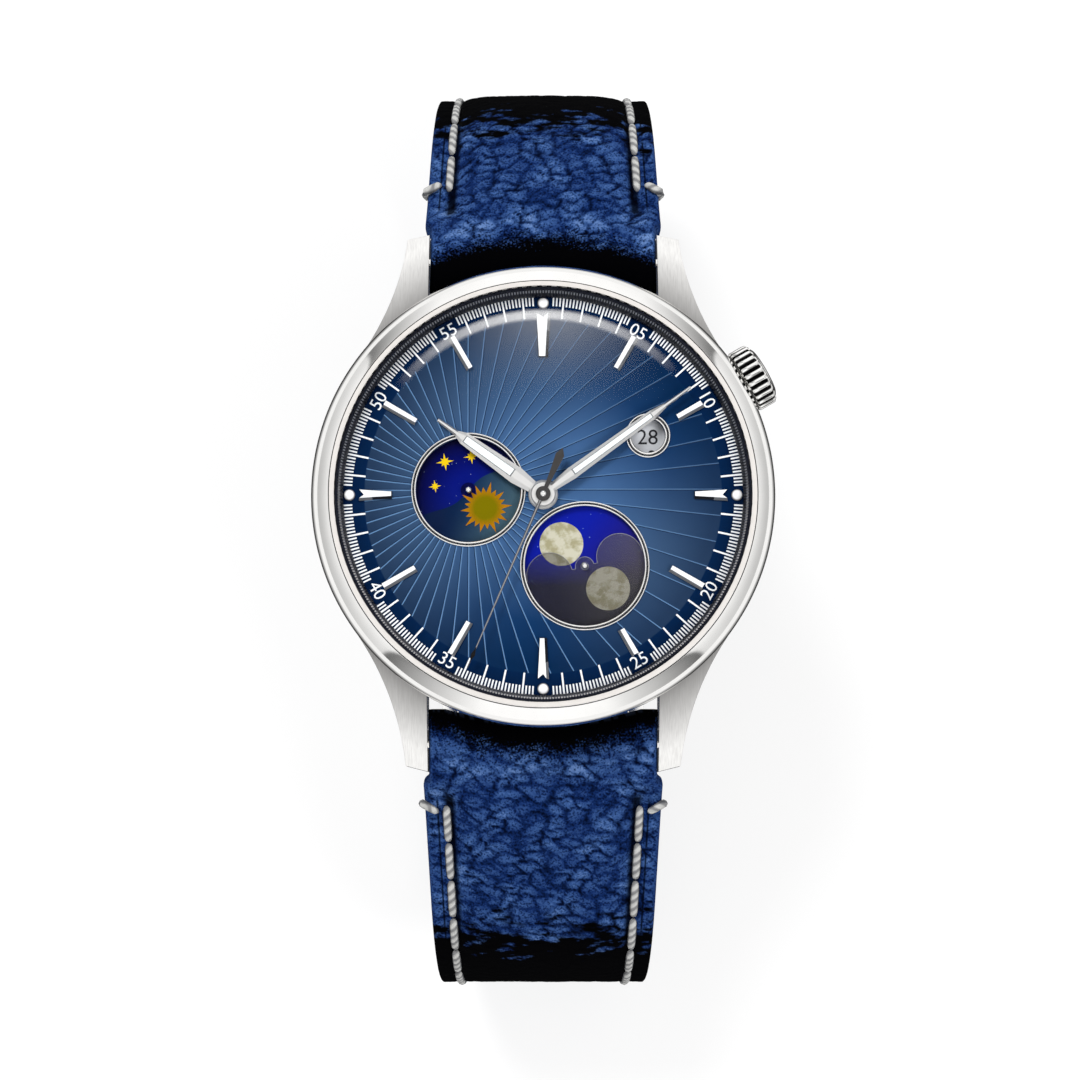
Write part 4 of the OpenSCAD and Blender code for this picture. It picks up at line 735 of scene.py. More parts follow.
def ticks(angles, inner, outer, width):
    # thin boxes, one at each angle: r from inner to outer, width across
    a = np.radians(angles)[:, None]
    r = np.array([inner, outer, outer, inner] * 2)[None, :]
    w = np.array([-0.5, -0.5, 0.5, 0.5] * 2)[None, :] * width
    z = np.array([0] * 4 + [trackShape["thick"]] * 4)[None, :] + dialSizes["top"] + 0 * a
    points = np.stack([r * np.cos(a) - w * np.sin(a), r * np.sin(a) + w * np.cos(a), z], -1)
    box = np.array([[0, 3, 2, 1], [4, 5, 6, 7], [0, 1, 5, 4], [1, 2, 6, 5], [2, 3, 7, 6],
                    [3, 0, 4, 7]])
    faces = (np.arange(len(angles))[:, None, None] * 8 + box[None]).reshape(-1, 4)
    return points.reshape(-1, 3), faces


def evaluated(item):
    # an object's mesh with its modifiers applied
    bpy.context.view_layer.update()
    return bpy.data.meshes.new_from_object(item.evaluated_get(
        bpy.context.evaluated_depsgraph_get()))


def lettering(text, size, thick):
    # a number as a mesh: points in mm about its middle, and its faces
    curve = bpy.data.curves.new("number", "FONT")
    curve.body, curve.size, curve.extrude = text, size, thick / 2
    curve.align_x, curve.align_y, curve.resolution_u = "CENTER", "CENTER", 3
    item = newObject("number", curve)
    mesh = evaluated(item)
    points = np.zeros(len(mesh.vertices) * 3)
    mesh.vertices.foreach_get("co", points)
    points = points.reshape(-1, 3)
    faces = [list(face.vertices) for face in mesh.polygons]
    points[:, :2] -= (points[:, :2].max(0) + points[:, :2].min(0)) / 2
    bpy.data.objects.remove(item)
    bpy.data.curves.remove(curve)
    bpy.data.meshes.remove(mesh)
    return points, faces


def addTrack():
    # one tick a degree, a long one every six, and numbers at the hours without a pearl
    t = trackShape
    degrees = np.arange(360)
    fromHour = np.minimum(degrees % 30, 30 - degrees % 30)
    isPearl = np.isin(np.round(degrees / 30).astype(int) % 12, [0, 3, 6, 9])
    shown = fromHour >= np.where(isPearl, 3, 4)
    isLong = degrees % 6 == 0
    addPiece("minuteTicks", *stacked([
        ticks(degrees[shown & ~isLong], t["shortIn"], t["out"], t["width"]),
        ticks(degrees[shown & isLong], t["longIn"], t["out"], t["longWidth"])]),
        white, "case", "markers", merge=False)
    parts = []
    for minute in t["numbers"]:
        points, faces = lettering(f"{minute:02d}", t["numberSize"], t["thick"])
        turn = -minute * 6 + (180 if 15 < minute < 45 else 0)
        points = turned(points, turn, pointAt(t["numberRadius"], 90 - minute * 6))
        points[:, 2] += dialSizes["top"] + t["thick"] / 2
        parts.append((points, faces))
    addPiece("minuteNumbers", *stacked(parts), white, "case", "markers")


markerShape = {"out": 17.38, "height": 0.4, "bevel": 0.06, "shade": 0.25, "notch": 0.45,
               "light": (-0.3, 1), "batonWidths": (0.7, 0.76), "joint": 0.42,
               "wedges": {90: (4.25, 1.37), 270: (3.9, 1.1), 0: (3.12, 1.1), 180: (3.12, 1.1)},
               "batons": {30: 2.75, 60: 3.55, 120: 3.55, 150: 3.55, 210: 3.55, 240: 3.55,
                          300: 2.75, 330: 3.55}}


def markerBar(angle, inner, outer, widthIn, widthOut, notch):
    # a bar with sloping sides: its base outline, and the same outline drawn in above it, further
    # on the side away from the light; also says which wall that is
    m = markerShape
    a = math.radians(angle)
    lit = 1 if -math.sin(a) * m["light"][0] + math.cos(a) * m["light"][1] > 0 else -1
    rings = []
    for drawnIn, up in ((0.0, 0.0), (0.02, 0.2), (1.0, m["height"])):
        left, right = ((m["bevel"] if side == lit else m["shade"]) * drawnIn for side in (-1, 1))
        end = drawnIn * m["bevel"]
        rings.append([(inner + end, left - widthIn / 2, up), (outer - end, left - widthOut / 2, up),
                      (outer - notch - end * 0.5, 0, up), (outer - end, widthOut / 2 - right, up),
                      (inner + end, widthIn / 2 - right, up)])
    points = np.array(rings).reshape(-1, 3)
    points[:, 2] += dialSizes["top"]
    walls = gridFaces(3, 5, wrapColumns=True)
    faces = [list(face) for face in walls] + [[4, 3, 2, 1, 0], [10, 11, 12, 13, 14]]
    return (turned(points, angle), faces), 0 if lit > 0 else 3


def addMarkers():
    # batons and notched wedges: white on top, polished sides, painted shade as a grey side away
    # from the light, and painted shade as dark sides along a wedge's inner part
    m = markerShape
    bars = [(markerBar(angle, m["out"] - length, m["out"], *m["batonWidths"], 0.0), 0)
            for angle, length in m["batons"].items()]
    for angle, (length, width) in m["wedges"].items():
        inner, middle = m["out"] - length, m["out"] - m["joint"] * length
        bars.append((markerBar(angle, middle, m["out"], 0.86 * width, width, m["notch"]), 0))
        bars.append((markerBar(angle, inner, middle + 0.1, 0.66 * width, 0.84 * width, 0.0), 2))
    # paint 3 is painted shade on the wall away from the light, paint 2 painted shade on inner walls
    paintOf = []
    for (shape, wall), side in bars:
        paints = [side] * 11 + [1]
        for step in (0, 5):
            paints[wall + step] = side or 3
        paintOf += paints
    piece = addPiece("hourBars", *stacked([shape for (shape, wall), side in bars]),
                     [mirror, white, groove, shaded], "case", "markers", sharp=10,
                     paintOf=paintOf, merge=False)
    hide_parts("hour_markers")


pearlShape = {"radius": 0.55, "height": 0.42, "foot": 0.08, "at": 18.28,
              "angles": (0, 90, 180, 270), "rim": (112, 112, 116), "top": (246, 246, 246)}


def addPearls():
    # low domes, white on top and painted shade in grey round the rim: r = R cos t, z = H sin t
    # above a short foot
    p = pearlShape
    graph = material("pearl")
    # painted shade: grey where the dome turns away from above
    tone = graph.mix(rgb(*p["rim"]), rgb(*p["top"]), graph.lookingUp().over(0.72, 0.3))
    paint = graph.surface(colour=tone, roughness=0.25, specular=0.3)
    t = np.radians(np.linspace(0, 90, 9))
    rise = p["foot"] + (p["height"] - p["foot"]) * np.sin(t)
    profile = np.array([(0, 0), (p["radius"], 0), *zip(p["radius"] * np.cos(t), rise)])
    profile[:, 1] += dialSizes["top"]
    parts = [lathe(profile, 32, pointAt(p["at"], angle)) for angle in p["angles"]]
    piece = addPiece("pearls", *stacked(parts), paint, "case", "markers")
    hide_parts("marker_pearls")


def addWindowRing(name, centre, inner, w, node):
    # two polished ridges with a groove between them, painted dark as shade
    profile = np.array([(0, 0), (w, 0), (w, 0.6), (0.9 * w, 1), (0.74 * w, 1), (0.62 * w, 0.4),
                        (0.42 * w, 0.4), (0.3 * w, 1), (0.1 * w, 1), (0, 0.7)])
    profile = profile * (1, dialSizes["ringHeight"]) + (inner, dialSizes["top"])
    segments, grooveStep = 96, 5
    paintOf = [int(step == grooveStep) for step in range(len(profile))] * segments
    piece = addPiece(name, *lathe(profile, segments, centre), [mirror, groove], "case", "markers",
                     sharp=25, paintOf=paintOf)
    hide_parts(node)


dress(dialPaint(), "dial")
addRays()
addTrack()
addMarkers()
addPearls()
for ringName, centre, opening, width, node in (
        ("dayWindowRing", dialSizes["sun"], "sunWindow", "ringWidth", "sun_window_ring"),
        ("moonWindowRing", dialSizes["moon"], "moonWindow", "ringWidth", "moon_window_ring"),
        ("dateWindowRing", dateCentre, "dateWindow", "dateRingWidth", "date_window_ring")):
    addWindowRing(ringName, centre, dialSizes[opening], dialSizes[width], node)
print("dial made")


# Discs under the windows

discTop = backHeight + 8.45
skyColours = {"deep": (1, 1, 36), "night": (1, 12, 104), "low": (14, 34, 110),
              "dayHigh": (2, 38, 72), "dayLow": (62, 86, 96), "dayLeft": (9, 18, 48),
              "gold": (110, 100, 0), "ray": (160, 104, 10), "star": (222, 186, 10),
              "moon": (186, 183, 164), "sea": (140, 134, 98), "royal": (10, 24, 142),
              "violet": (30, 20, 74), "black": (10, 9, 18)}
sky = allLinear(skyColours)
skyShape = {"horizonTurn": 33, "waves": 0.9, "waveHeight": 0.35, "starColour": (0.6, 0.75, 0.9),
            "moonStarColour": (0.45, 0.7, 0.9)}


def printed(graph, tone, roughness=0.4):
    return graph.surface(colour=tone, roughness=roughness, specular=0.05)


def nightDayPaint():
    # night above a wavy horizon and day below it, with small faint stars
    graph = material("day and night disc")
    c, centre = sky, dialSizes["sun"]
    x, y = graph.flat(centre)
    radius = graph.polar(centre)[0]
    cosine, sine = pointAt(1, skyShape["horizonTurn"])
    along, across = x * cosine + y * sine, y * cosine - x * sine
    wave = (along * skyShape["waves"]).maths("SINE") * skyShape["waveHeight"]
    horizon = (across - wave).over(0, 0.05)
    pin = radius.under(0.75, 0.05)
    night = graph.ramp(radius / 5, [(0.3, c["night"]), (1.0, c["deep"])])
    night = graph.mix(night, c["low"], (1.2 - across * 0.5).atLeast(0) * 0.14)
    night = graph.mix(night, c["deep"], pin * 0.8)
    dots = graph.cells(graph.place(centre), 1.9).under(0.055, 0.05)
    night = graph.mix(night, skyShape["starColour"], dots * 0.55)
    day = graph.mix(c["dayHigh"], c["dayLow"], (0.05 - y * 0.08 + x * 0.16).atLeast(0))
    day = graph.mix(day, c["dayLeft"], x.under(-0.3, 5) * 0.8)
    return printed(graph, graph.mix(day, night, horizon.atLeast(pin)))


def moonSkyPaint():
    # royal blue above, violet towards the right, near black below, with small faint stars
    graph = material("moon disc")
    centre = dialSizes["moon"]
    x, y = graph.flat(centre)
    towardsRight = (0.35 - y * 0.1 + x * 0.13).atLeast(0).atMost(1)
    tone = graph.mix(sky["royal"], sky["violet"], towardsRight)
    tone = graph.mix(tone, sky["black"], y.under(-0.6, 2.5) * 0.9)
    dots = graph.cells(graph.place(centre), 1.5).under(0.05, 0.05)
    return printed(graph, graph.mix(tone, skyShape["moonStarColour"], dots * 0.6))


def moonPaint():
    # cream with blotched olive seas
    graph = material("moon face")
    seas, spots = (graph.noise(graph.place(stretch=(1, 1, 0)), scale, detail)
                   for scale, detail in ((0.85, 5), (3.2, 4)))
    seas = (seas + spots * 0.25 - 0.12).over(0.52, 0.16)
    return printed(graph, graph.mix(sky["moon"], sky["sea"], seas * 0.8), 0.6)


def starOutline(points, tip, waist):
    # a star's outline: the radius goes from tip to waist and back at each half step; tip is one
    # number, or an array with one for every half step
    a = np.linspace(0, 2 * math.pi, 2 * points, endpoint=False)
    r = np.where(np.arange(2 * points) % 2 == 0, tip, waist)
    return np.stack([r * np.cos(a), r * np.sin(a)], -1)


def plate(outline, centre, turn, low, high):
    # a flat shape from its outline
    count = len(outline)
    flat = np.concatenate([np.column_stack([outline, np.full(count, low)]),
                           np.column_stack([outline, np.full(count, high)])])
    return turned(flat, turn, centre), prismFaces(count)


def dome(radius, centre, low, rise, segments=48):
    # r = R cos t, z = low + rise sin t
    t = np.radians(np.linspace(0, 90, 7))
    profile = np.stack([radius * np.cos(t), low + rise * np.sin(t)], -1)
    return lathe(np.array([(0, low - 0.01), (radius, low - 0.01), *profile]), segments, centre)


printShape = {"ink": 0.02, "rise": 0.03, "sunAt": (1.59, -1.69), "sunRadius": 1.48,
              "rayLengths": [2.55, 2.0, 2.35, 2.0] * 5, "rayWaist": 1.5, "sunTurn": 6,
              "stars": ((-2.24, 2.71, 0.85), (0.25, 3.22, 0.75), (-3.17, 0.38, 0.62)),
              "starTurn": 8, "starWaist": 0.24, "moonRadius": 2.07, "moonAt": (2.2, -2.1)}


def addSun():
    # gold disc with long and short pointed rays
    p, (x, y), (dx, dy) = printShape, dialSizes["sun"], printShape["sunAt"]
    centre = (x + dx, y + dy)
    outline = starOutline(len(p["rayLengths"]), np.repeat(p["rayLengths"], 2), p["rayWaist"])
    graph = material("gold print")
    fromGold = graph.polar(centre)[0].over(1.4, 0.8)
    paint = printed(graph, graph.mix(sky["gold"], sky["ray"], fromGold), 0.5)
    parts = [plate(outline, centre, p["sunTurn"], discTop, discTop + p["ink"]),
             dome(p["sunRadius"], centre, discTop + p["ink"], p["rise"])]
    addPiece("sunFace", *stacked(parts), paint, "day_night", "day_night_disc")


def addStars():
    # four-pointed yellow stars, each on a smaller one turned by half a step
    p, (x, y) = printShape, dialSizes["sun"]
    parts = [plate(starOutline(4, tip * share, p["starWaist"] * tip), (x + dx, y + dy),
                   turn + p["starTurn"], discTop, discTop + high)
             for dx, dy, tip in p["stars"]
             for turn, share, high in ((0, 1.0, p["ink"]), (45, 0.62, p["rise"]))]
    addPiece("stars", *stacked(parts), lacquer("star print", skyColours["star"], 0.5), "day_night",
             "day_night_disc", merge=False)


def addMoons():
    # two faces on opposite sides of the disc's middle
    p, (x, y), (dx, dy) = printShape, dialSizes["moon"], printShape["moonAt"]
    parts = [dome(p["moonRadius"], (x + side * dx, y + side * dy), discTop, p["rise"])
             for side in (-1, 1)]
    addPiece("moonFaces", *stacked(parts), moonPaint(), "moon", "moon_disc")


maskShape = {"edge": 0.12, "smoke": 0.21, "dark": (58, 58, 62), "light": (106, 104, 106),
             "line": (150, 150, 152)}


def maskPaint():
    # smoked plate that lets the disc below shine through, with a painted highlight along its edge
    # and sparse pale specks
    graph = material("smoked mask")
    m, centre = maskShape, dialSizes["moon"]
    x, y = graph.flat(centre)
    dots = graph.cells(graph.place(centre), 0.9).under(0.05, 0.04)
    edge = abs(graph.split(graph.rounded(m["edge"], 8))[2]).under(0.96, 0.06)
    tone = graph.mix(rgb(*m["dark"]), rgb(*m["light"]), 0.4 + x * 0.1 + y * 0.05)
    # painted highlight: a pale line where the edge turns away from above
    tone = graph.mix(tone, rgb(*m["line"]), edge.atLeast(dots) * 0.8)
    seen = edge * (1 - m["smoke"]) + m["smoke"]
    return graph.surface(colour=tone, roughness=0.45, specular=0.05, alpha=seen)


pinShape = {"radius": 0.3, "rise": 0.2}


def addPins():
    # a small steel dome on the middle of each disc
    p = pinShape
    for name, centre, body, node in (("dayPin", dialSizes["sun"], "day_night", "day_night_disc"),
                                     ("moonPin", dialSizes["moon"], "moon", "moon_disc")):
        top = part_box(node)[1][2] / mm
        addPiece(name, *dome(p["radius"], centre, top, p["rise"], 24), mirror, body, "markers")


dress(nightDayPaint(), "day_night_disc")
dress(moonSkyPaint(), "moon_disc")
dress(maskPaint(), "moon_mask")
addSun()
addStars()
addMoons()
addPins()


dateShape = {"shown": 28, "count": 31, "size": 2.05, "thick": 0.012, "top": backHeight + 7.96}


def addDateNumbers():
    # all numbers round the ring; the shown one stands upright in the window
    d = dateShape
    parts = []
    for number in range(1, d["count"] + 1):
        points, faces = lettering(str(number), d["size"], d["thick"])
        step = (number - d["shown"]) * 360 / d["count"]
        points = turned(points, step,
                        pointAt(dialSizes["dateRadius"], dialSizes["dateAngle"] + step))
        points[:, 2] += d["top"] + d["thick"] / 2
        parts.append((points, faces))
    addPiece("dateNumbers", *stacked(parts), lacquer("date print", (46, 46, 50), 0.5), "date",
             "date_ring")


dress(lacquer("date enamel", (206, 208, 212), 0.45), "date_ring")
addDateNumbers()
print("discs made")


# Hands

hourShape = {"length": 12.2, "boss": 1.4, "bore": 0.82, "low": backHeight + 9.53, "turn": 305.5,
             "belly": (3.1, 0.84), "shoulder": (9.2, 0.6), "neck": (10.0, 0.28), "tip": 0.17,
             "slot": (3.6, 9.0, 0.36), "thick": 0.2}
minuteShape = {"length": 17.2, "boss": 1.2, "bore": 0.47, "low": backHeight + 10.03, "turn": 53.9,
               "belly": (3.3, 0.6), "shoulder": (12.8, 0.45), "neck": (14.2, 0.22), "tip": 0.12,
               "slot": (3.6, 12.6, 0.24), "thick": 0.2}
fillShape = {"taper": 0.85, "sink": 0.02, "fillUp": 0.03, "rimUp": 0.008, "rimIn": 0.12,
             "rimOut": 0.1, "rimSide": 0.06}


def handBody(h):
    # half width w(s) along the hand; across it the top slopes from the edge up to a flat band
    stops = [0.0, h["belly"][0], h["shoulder"][0], h["neck"][0], h["length"]]
    widths = [h["belly"][1] * 0.5, h["belly"][1], h["shoulder"][1], h["neck"][1], h["tip"]]
    s = np.array(stops)
    w = np.interp(s, stops, widths)
    across = np.array([-1, 1, 1, 0.42, -0.42, -1])[None, :] * w[:, None]
    up = np.array([0, 0, 0.35, 1, 1, 0.35])[None, :] * h["thick"] + 0 * across
    points = np.stack([s[:, None] + 0 * across, across, up], -1)
    faces = [list(f) for f in gridFaces(len(s), 6, wrapColumns=True)]
    last = 6 * (len(s) - 1)
    faces += [[0, 1, 2, 3, 4, 5], [last + 5, last + 4, last + 3, last + 2, last + 1, last]]
    return points.reshape(-1, 3), faces


def bossRing(h):
    # rounded ring at the hand's root
    t = h["thick"]
    profile = [(h["bore"], 0), (h["boss"], 0), (h["boss"], 0.5 * t), (h["boss"] - 0.12, 1.02 * t),
               (h["bore"] + 0.12, 1.02 * t), (h["bore"], 0.8 * t)]
    return lathe(profile, 64)


def fillSlab(h, before, beyond, side, up):
    # a flat plate over the hand's slot, wider than it by side, narrower towards the hand's tip
    low, high, half = h["slot"]
    tip = half * fillShape["taper"]
    flat = np.array([(low - before, -half - side, 0), (high + beyond, -tip - side, 0),
                     (high + beyond, tip + side, 0), (low - before, half + side, 0)])
    levels = (h["thick"] - fillShape["sink"], h["thick"] + up)
    return np.concatenate([flat + (0, 0, level) for level in levels]), prismFaces(4)


def addHand(name, h, body, node):
    # the steel hand with its ring, a dark rim round the slot and the pale fill in it
    f = fillShape
    parts = [handBody(h), bossRing(h),
             fillSlab(h, f["rimIn"], f["rimOut"], f["rimSide"], f["rimUp"]),
             fillSlab(h, 0, 0, 0, f["fillUp"])]
    paintOf = np.repeat((0, 0, 2, 1), [len(part[1]) for part in parts])
    points, faces = stacked(parts)
    points = turned(points, 90 - h["turn"]) + (0, 0, h["low"])
    piece = addPiece(name, points, faces, [handSteel, glow, seam], body, "polished_steel",
                     sharp=8, paintOf=paintOf, merge=False)
    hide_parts(node)


handSteel = polishedSteel("hand steel", (246, 245, 243), 0.42, 0.02)
glow = lacquer("pale fill", (232, 238, 238), 0.6)
seam = lacquer("hand seam", (120, 122, 124), 0.5)
addHand("hourHand", hourShape, "hours", "hour_hand")
addHand("minuteHand", minuteShape, "minutes", "minute_hand")


secondsShape = {"reach": 17.8, "turn": 203.4, "low": backHeight + 10.45, "thick": 0.12,
                "lozenge": 16.5, "lozengeHalf": 0.2, "lozengeTip": 0.75, "lozengeUp": 0.03,
                "ridge": (-0.01, 0.015), "pin": 0.3, "pinRise": 0.12, "dark": (54, 52, 52),
                "light": (138, 138, 140), "black": (6, 6, 8)}


def addSecondsHand():
    # thin pointer with a pale ridge, a leaf behind the middle and a small black lozenge near its
    # tip; its hub is a dark ring with a steel pin
    s = secondsShape
    outline = np.array([(s["reach"], 0.05), (0.3, 0.14), (-2, 0.25), (-4.0, 0.42), (-4.7, 0),
                        (-4.0, -0.42), (-2, -0.25), (0.3, -0.14), (s["reach"], -0.05)])
    half, tip, top = s["lozengeHalf"], s["lozengeTip"], s["thick"]
    lozenge = np.array([(s["lozenge"] + tip, 0), (s["lozenge"], half), (s["lozenge"] - tip, 0),
                        (s["lozenge"], -half)])
    ridge = np.array([(0.7, 0.06), (0.7, -0.06), (s["lozenge"] - tip, -0.04),
                      (s["lozenge"] - tip, 0.04)])
    hub = lathe([(0.16, 0), (0.7, 0), (0.7, 0.09), (0.62, 0.13), (0.34, 0.13), (0.16, 0.1)], 48)
    parts = [plate(outline, (0, 0), 0, 0, top),
             plate(lozenge, (0, 0), 0, 0, top + s["lozengeUp"]), hub,
             plate(ridge, (0, 0), 0, top + s["ridge"][0], top + s["ridge"][1]),
             dome(s["pin"], (0, 0), top, s["pinRise"], 32)]
    points, faces = stacked(parts)
    paintOf = np.repeat((0, 1, 0, 2, 3), [len(part[1]) for part in parts])
    points = turned(points, 90 - s["turn"]) + (0, 0, s["low"])
    dark = lacquer("dark nickel", s["dark"], 0.4, specular=0.3)
    light = lacquer("pale nickel", s["light"], 0.4)
    black = lacquer("black enamel", s["black"], 0.25)
    piece = addPiece("secondsPointer", points, faces, [dark, black, light, mirror],
                     "seconds", "seconds_hand", paintOf=paintOf, merge=False)
    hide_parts("seconds_hand")


addSecondsHand()
print("hands made")

# Strap

strapShape = {"bar": 23.3, "barHeight": 37.0, "slope": 25, "upperBend": 14, "lowerBend": 13,
              "edge": 1.1, "roll": 1.93, "lugWidth": 21.85, "width": 23.3, "tail": 18,
              "taper": 60, "pad": 1.5, "padLength": 30, "padStart": 0.56, "padRise": 12,
              "inLugs": 3.56, "stitchIn": 2.1, "step": 0.22, "corner": 0.45, "grain": 0.12,
              "endMiddle": 21.45, "endCurve": 0.0168, "endCorner": 20.0, "endRound": 1.2,
              "tipLength": 3.28, "tipRadius": 14, "across": 91, "bends": 9, "shortEnding": 1.14,
              "padEdge": 0.45, "padSoft": 1.3, "blendFrom": 2.2, "blendLength": 4.6,
              "crown": 1.95, "crownRise": 0.12, "crownEdge": 0.22, "crownSoft": 0.5,
              "groove": 0.2, "grooveHalf": 0.38}
straps = {"short": {"reach": 42.9, "floor": 5.1, "end": -8, "side": 1, "node": "strap_short",
                    "crest": 27.5, "firstStitch": 7.9, "pitch": 4.4,
                    "slots": [(-8.9, 2.4, 4.6)], "holes": []},
          "long": {"reach": 46.7, "floor": 2.7, "end": -27.28, "side": -1, "node": "strap_long",
                   "crest": 25.9, "firstStitch": 6.0, "pitch": 4.0,
                   "slots": [(-11.3, 2.0, 3.3)], "holes": [-4.8, -17.8, -24.3, -30.8]}}


def strapLine(strap):
    # the strap's middle line: heading a(s) is piecewise straight, y and z are the sums of its
    # cosine and sine from the bar on
    g = strapShape
    slope = math.radians(g["slope"])
    reach = strap["reach"] - g["edge"] - g["bar"] - g["upperBend"] * (1 - math.sin(slope))
    first = reach / math.cos(slope)
    second = first + g["upperBend"] * (math.pi / 2 - slope)
    drop = first * math.sin(slope) + g["upperBend"] * math.cos(slope)
    third = second + g["barHeight"] - drop - strap["floor"] - g["lowerBend"]
    fourth = third + g["lowerBend"] * math.pi / 2
    total = fourth + strap["reach"] - g["edge"] - g["lowerBend"] - strap["end"]
    s = np.linspace(0, total, 12000)
    heading = np.interp(s, [0, first, second, third, fourth, total],
                        [-slope, -slope, -math.pi / 2, -math.pi / 2, -math.pi, -math.pi])
    middle = (heading[1:] + heading[:-1]) / 2
    ds = s[1] - s[0]
    y = g["bar"] + np.concatenate([[0], np.cumsum(np.cos(middle))]) * ds
    z = g["barHeight"] + np.concatenate([[0], np.cumsum(np.sin(middle))]) * ds
    return {"s": s, "y": y, "z": z, "heading": heading, "total": total, "side": strap["side"],
            "bend": first}


def onStrap(line, s, x, up):
    # a point at distance s along the middle line, x across and up off it
    a = np.interp(s, line["s"], line["heading"])
    y = np.interp(s, line["s"], line["y"]) + np.minimum(s, 0) * np.cos(a)
    z = np.interp(s, line["s"], line["z"]) + np.minimum(s, 0) * np.sin(a)
    y, z = y - up * np.sin(a), z + up * np.cos(a)
    return np.stack([x + 0 * y, y * line["side"], z], -1)


def strapWidth(s):
    # the lugs' gap at first, then the full width, tapering to the tail's
    g = strapShape
    wide = np.maximum(g["tail"], g["width"] - (g["width"] - g["tail"]) * s / g["taper"])
    return g["lugWidth"] + (wide - g["lugWidth"]) * np.clip((s - g["inLugs"] + 0.25) / 0.5, 0, 1)


def pebbles(u, v, seed):
    # leather grain: 0 in the creases and 1 in the middle of a cell, from the distances to the
    # nearest and second nearest of one loose point in each unit square
    random = np.random.default_rng(seed).random((97, 89, 2)) * 0.8 + 0.1
    row, column = np.floor(u).astype(int), np.floor(v).astype(int)
    nearest, second = np.full(u.shape, 9.0), np.full(u.shape, 9.0)
    for i in range(-2, 3):
        for j in range(-2, 3):
            at = random[(row + i) % 97, (column + j) % 89]
            far = np.hypot(row + i + at[..., 0] - u, column + j + at[..., 1] - v)
            second = np.minimum(second, np.maximum(nearest, far))
            nearest = np.minimum(nearest, far)
    return np.clip((second - nearest) * 2.2, 0, 1)


def topHeight(s, x):
    # outer face above the middle line: full to the edge beside the case; further on flat margins, a
    # padded middle and a groove under the stitches
    g = strapShape
    inside = strapWidth(s) / 2 - np.abs(x)
    pad = g["pad"] * np.minimum(1, g["padStart"] + s / g["padRise"]) * np.maximum(
        0, 1 - (s / g["padLength"]) ** 2)
    belly = 1 - np.exp(-np.maximum(inside - g["stitchIn"] - g["padEdge"], 0) / g["padSoft"])
    full = g["edge"] + pad * belly
    blend = np.clip((s - g["blendFrom"]) / g["blendLength"], 0, 1)
    blend = blend * blend * (3 - 2 * blend)
    crown = (g["crown"] + g["crownRise"] * np.clip(s / 3, 0, 1)
             - g["crownEdge"] * np.exp(-inside / g["crownSoft"]))
    up = crown + (full - crown) * blend
    groove = np.exp(-((inside - g["stitchIn"]) / g["grooveHalf"]) ** 2)
    return up - g["groove"] * groove * blend


def leatherGrain(s, x, seed):
    # grain height 0..1, and how deep a crease is: long cells across the strap, loosened by waves
    u = s + 0.3 * np.sin(1.3 * x + 0.5 * s + seed) + 0.16 * np.sin(2.9 * x - 1.3 * s)
    v = x + 0.45 * np.sin(0.9 * s + 0.35 * x + 2 * seed) + 0.2 * np.sin(2.3 * s)
    cell = pebbles(u / 1.15 + 40, v / 2.3 + 40, seed)
    small = pebbles(u / 0.5 + 11, v / 0.62 + 17, seed + 1)
    strength = np.clip(0.6 + 0.4 * np.sin(0.55 * s + 1.1 * x + seed)
                       + 0.35 * np.sin(1.7 * s - 0.6 * x), 0.15, 1)
    crease = np.clip(1 - cell / 0.36, 0, 1) * strength
    height = np.sqrt(cell) * (0.55 + 0.45 * strength) * 0.8 + small * 0.2
    return height, crease


def cutHoles(piece, cutters):
    # holes punched straight through a closed piece
    mesh = bpy.data.meshes.new("cutters")
    points, faces = stacked(cutters)
    mesh.from_pydata((points * mm).tolist(), [], faces)
    tool = newObject("cutters", mesh)
    step = piece.modifiers.new("holes", "BOOLEAN")
    step.operation, step.object, step.solver = "DIFFERENCE", tool, "EXACT"
    made = evaluated(piece)
    piece.modifiers.clear()
    piece.data = made
    bpy.data.objects.remove(tool)
    bpy.data.meshes.remove(mesh)


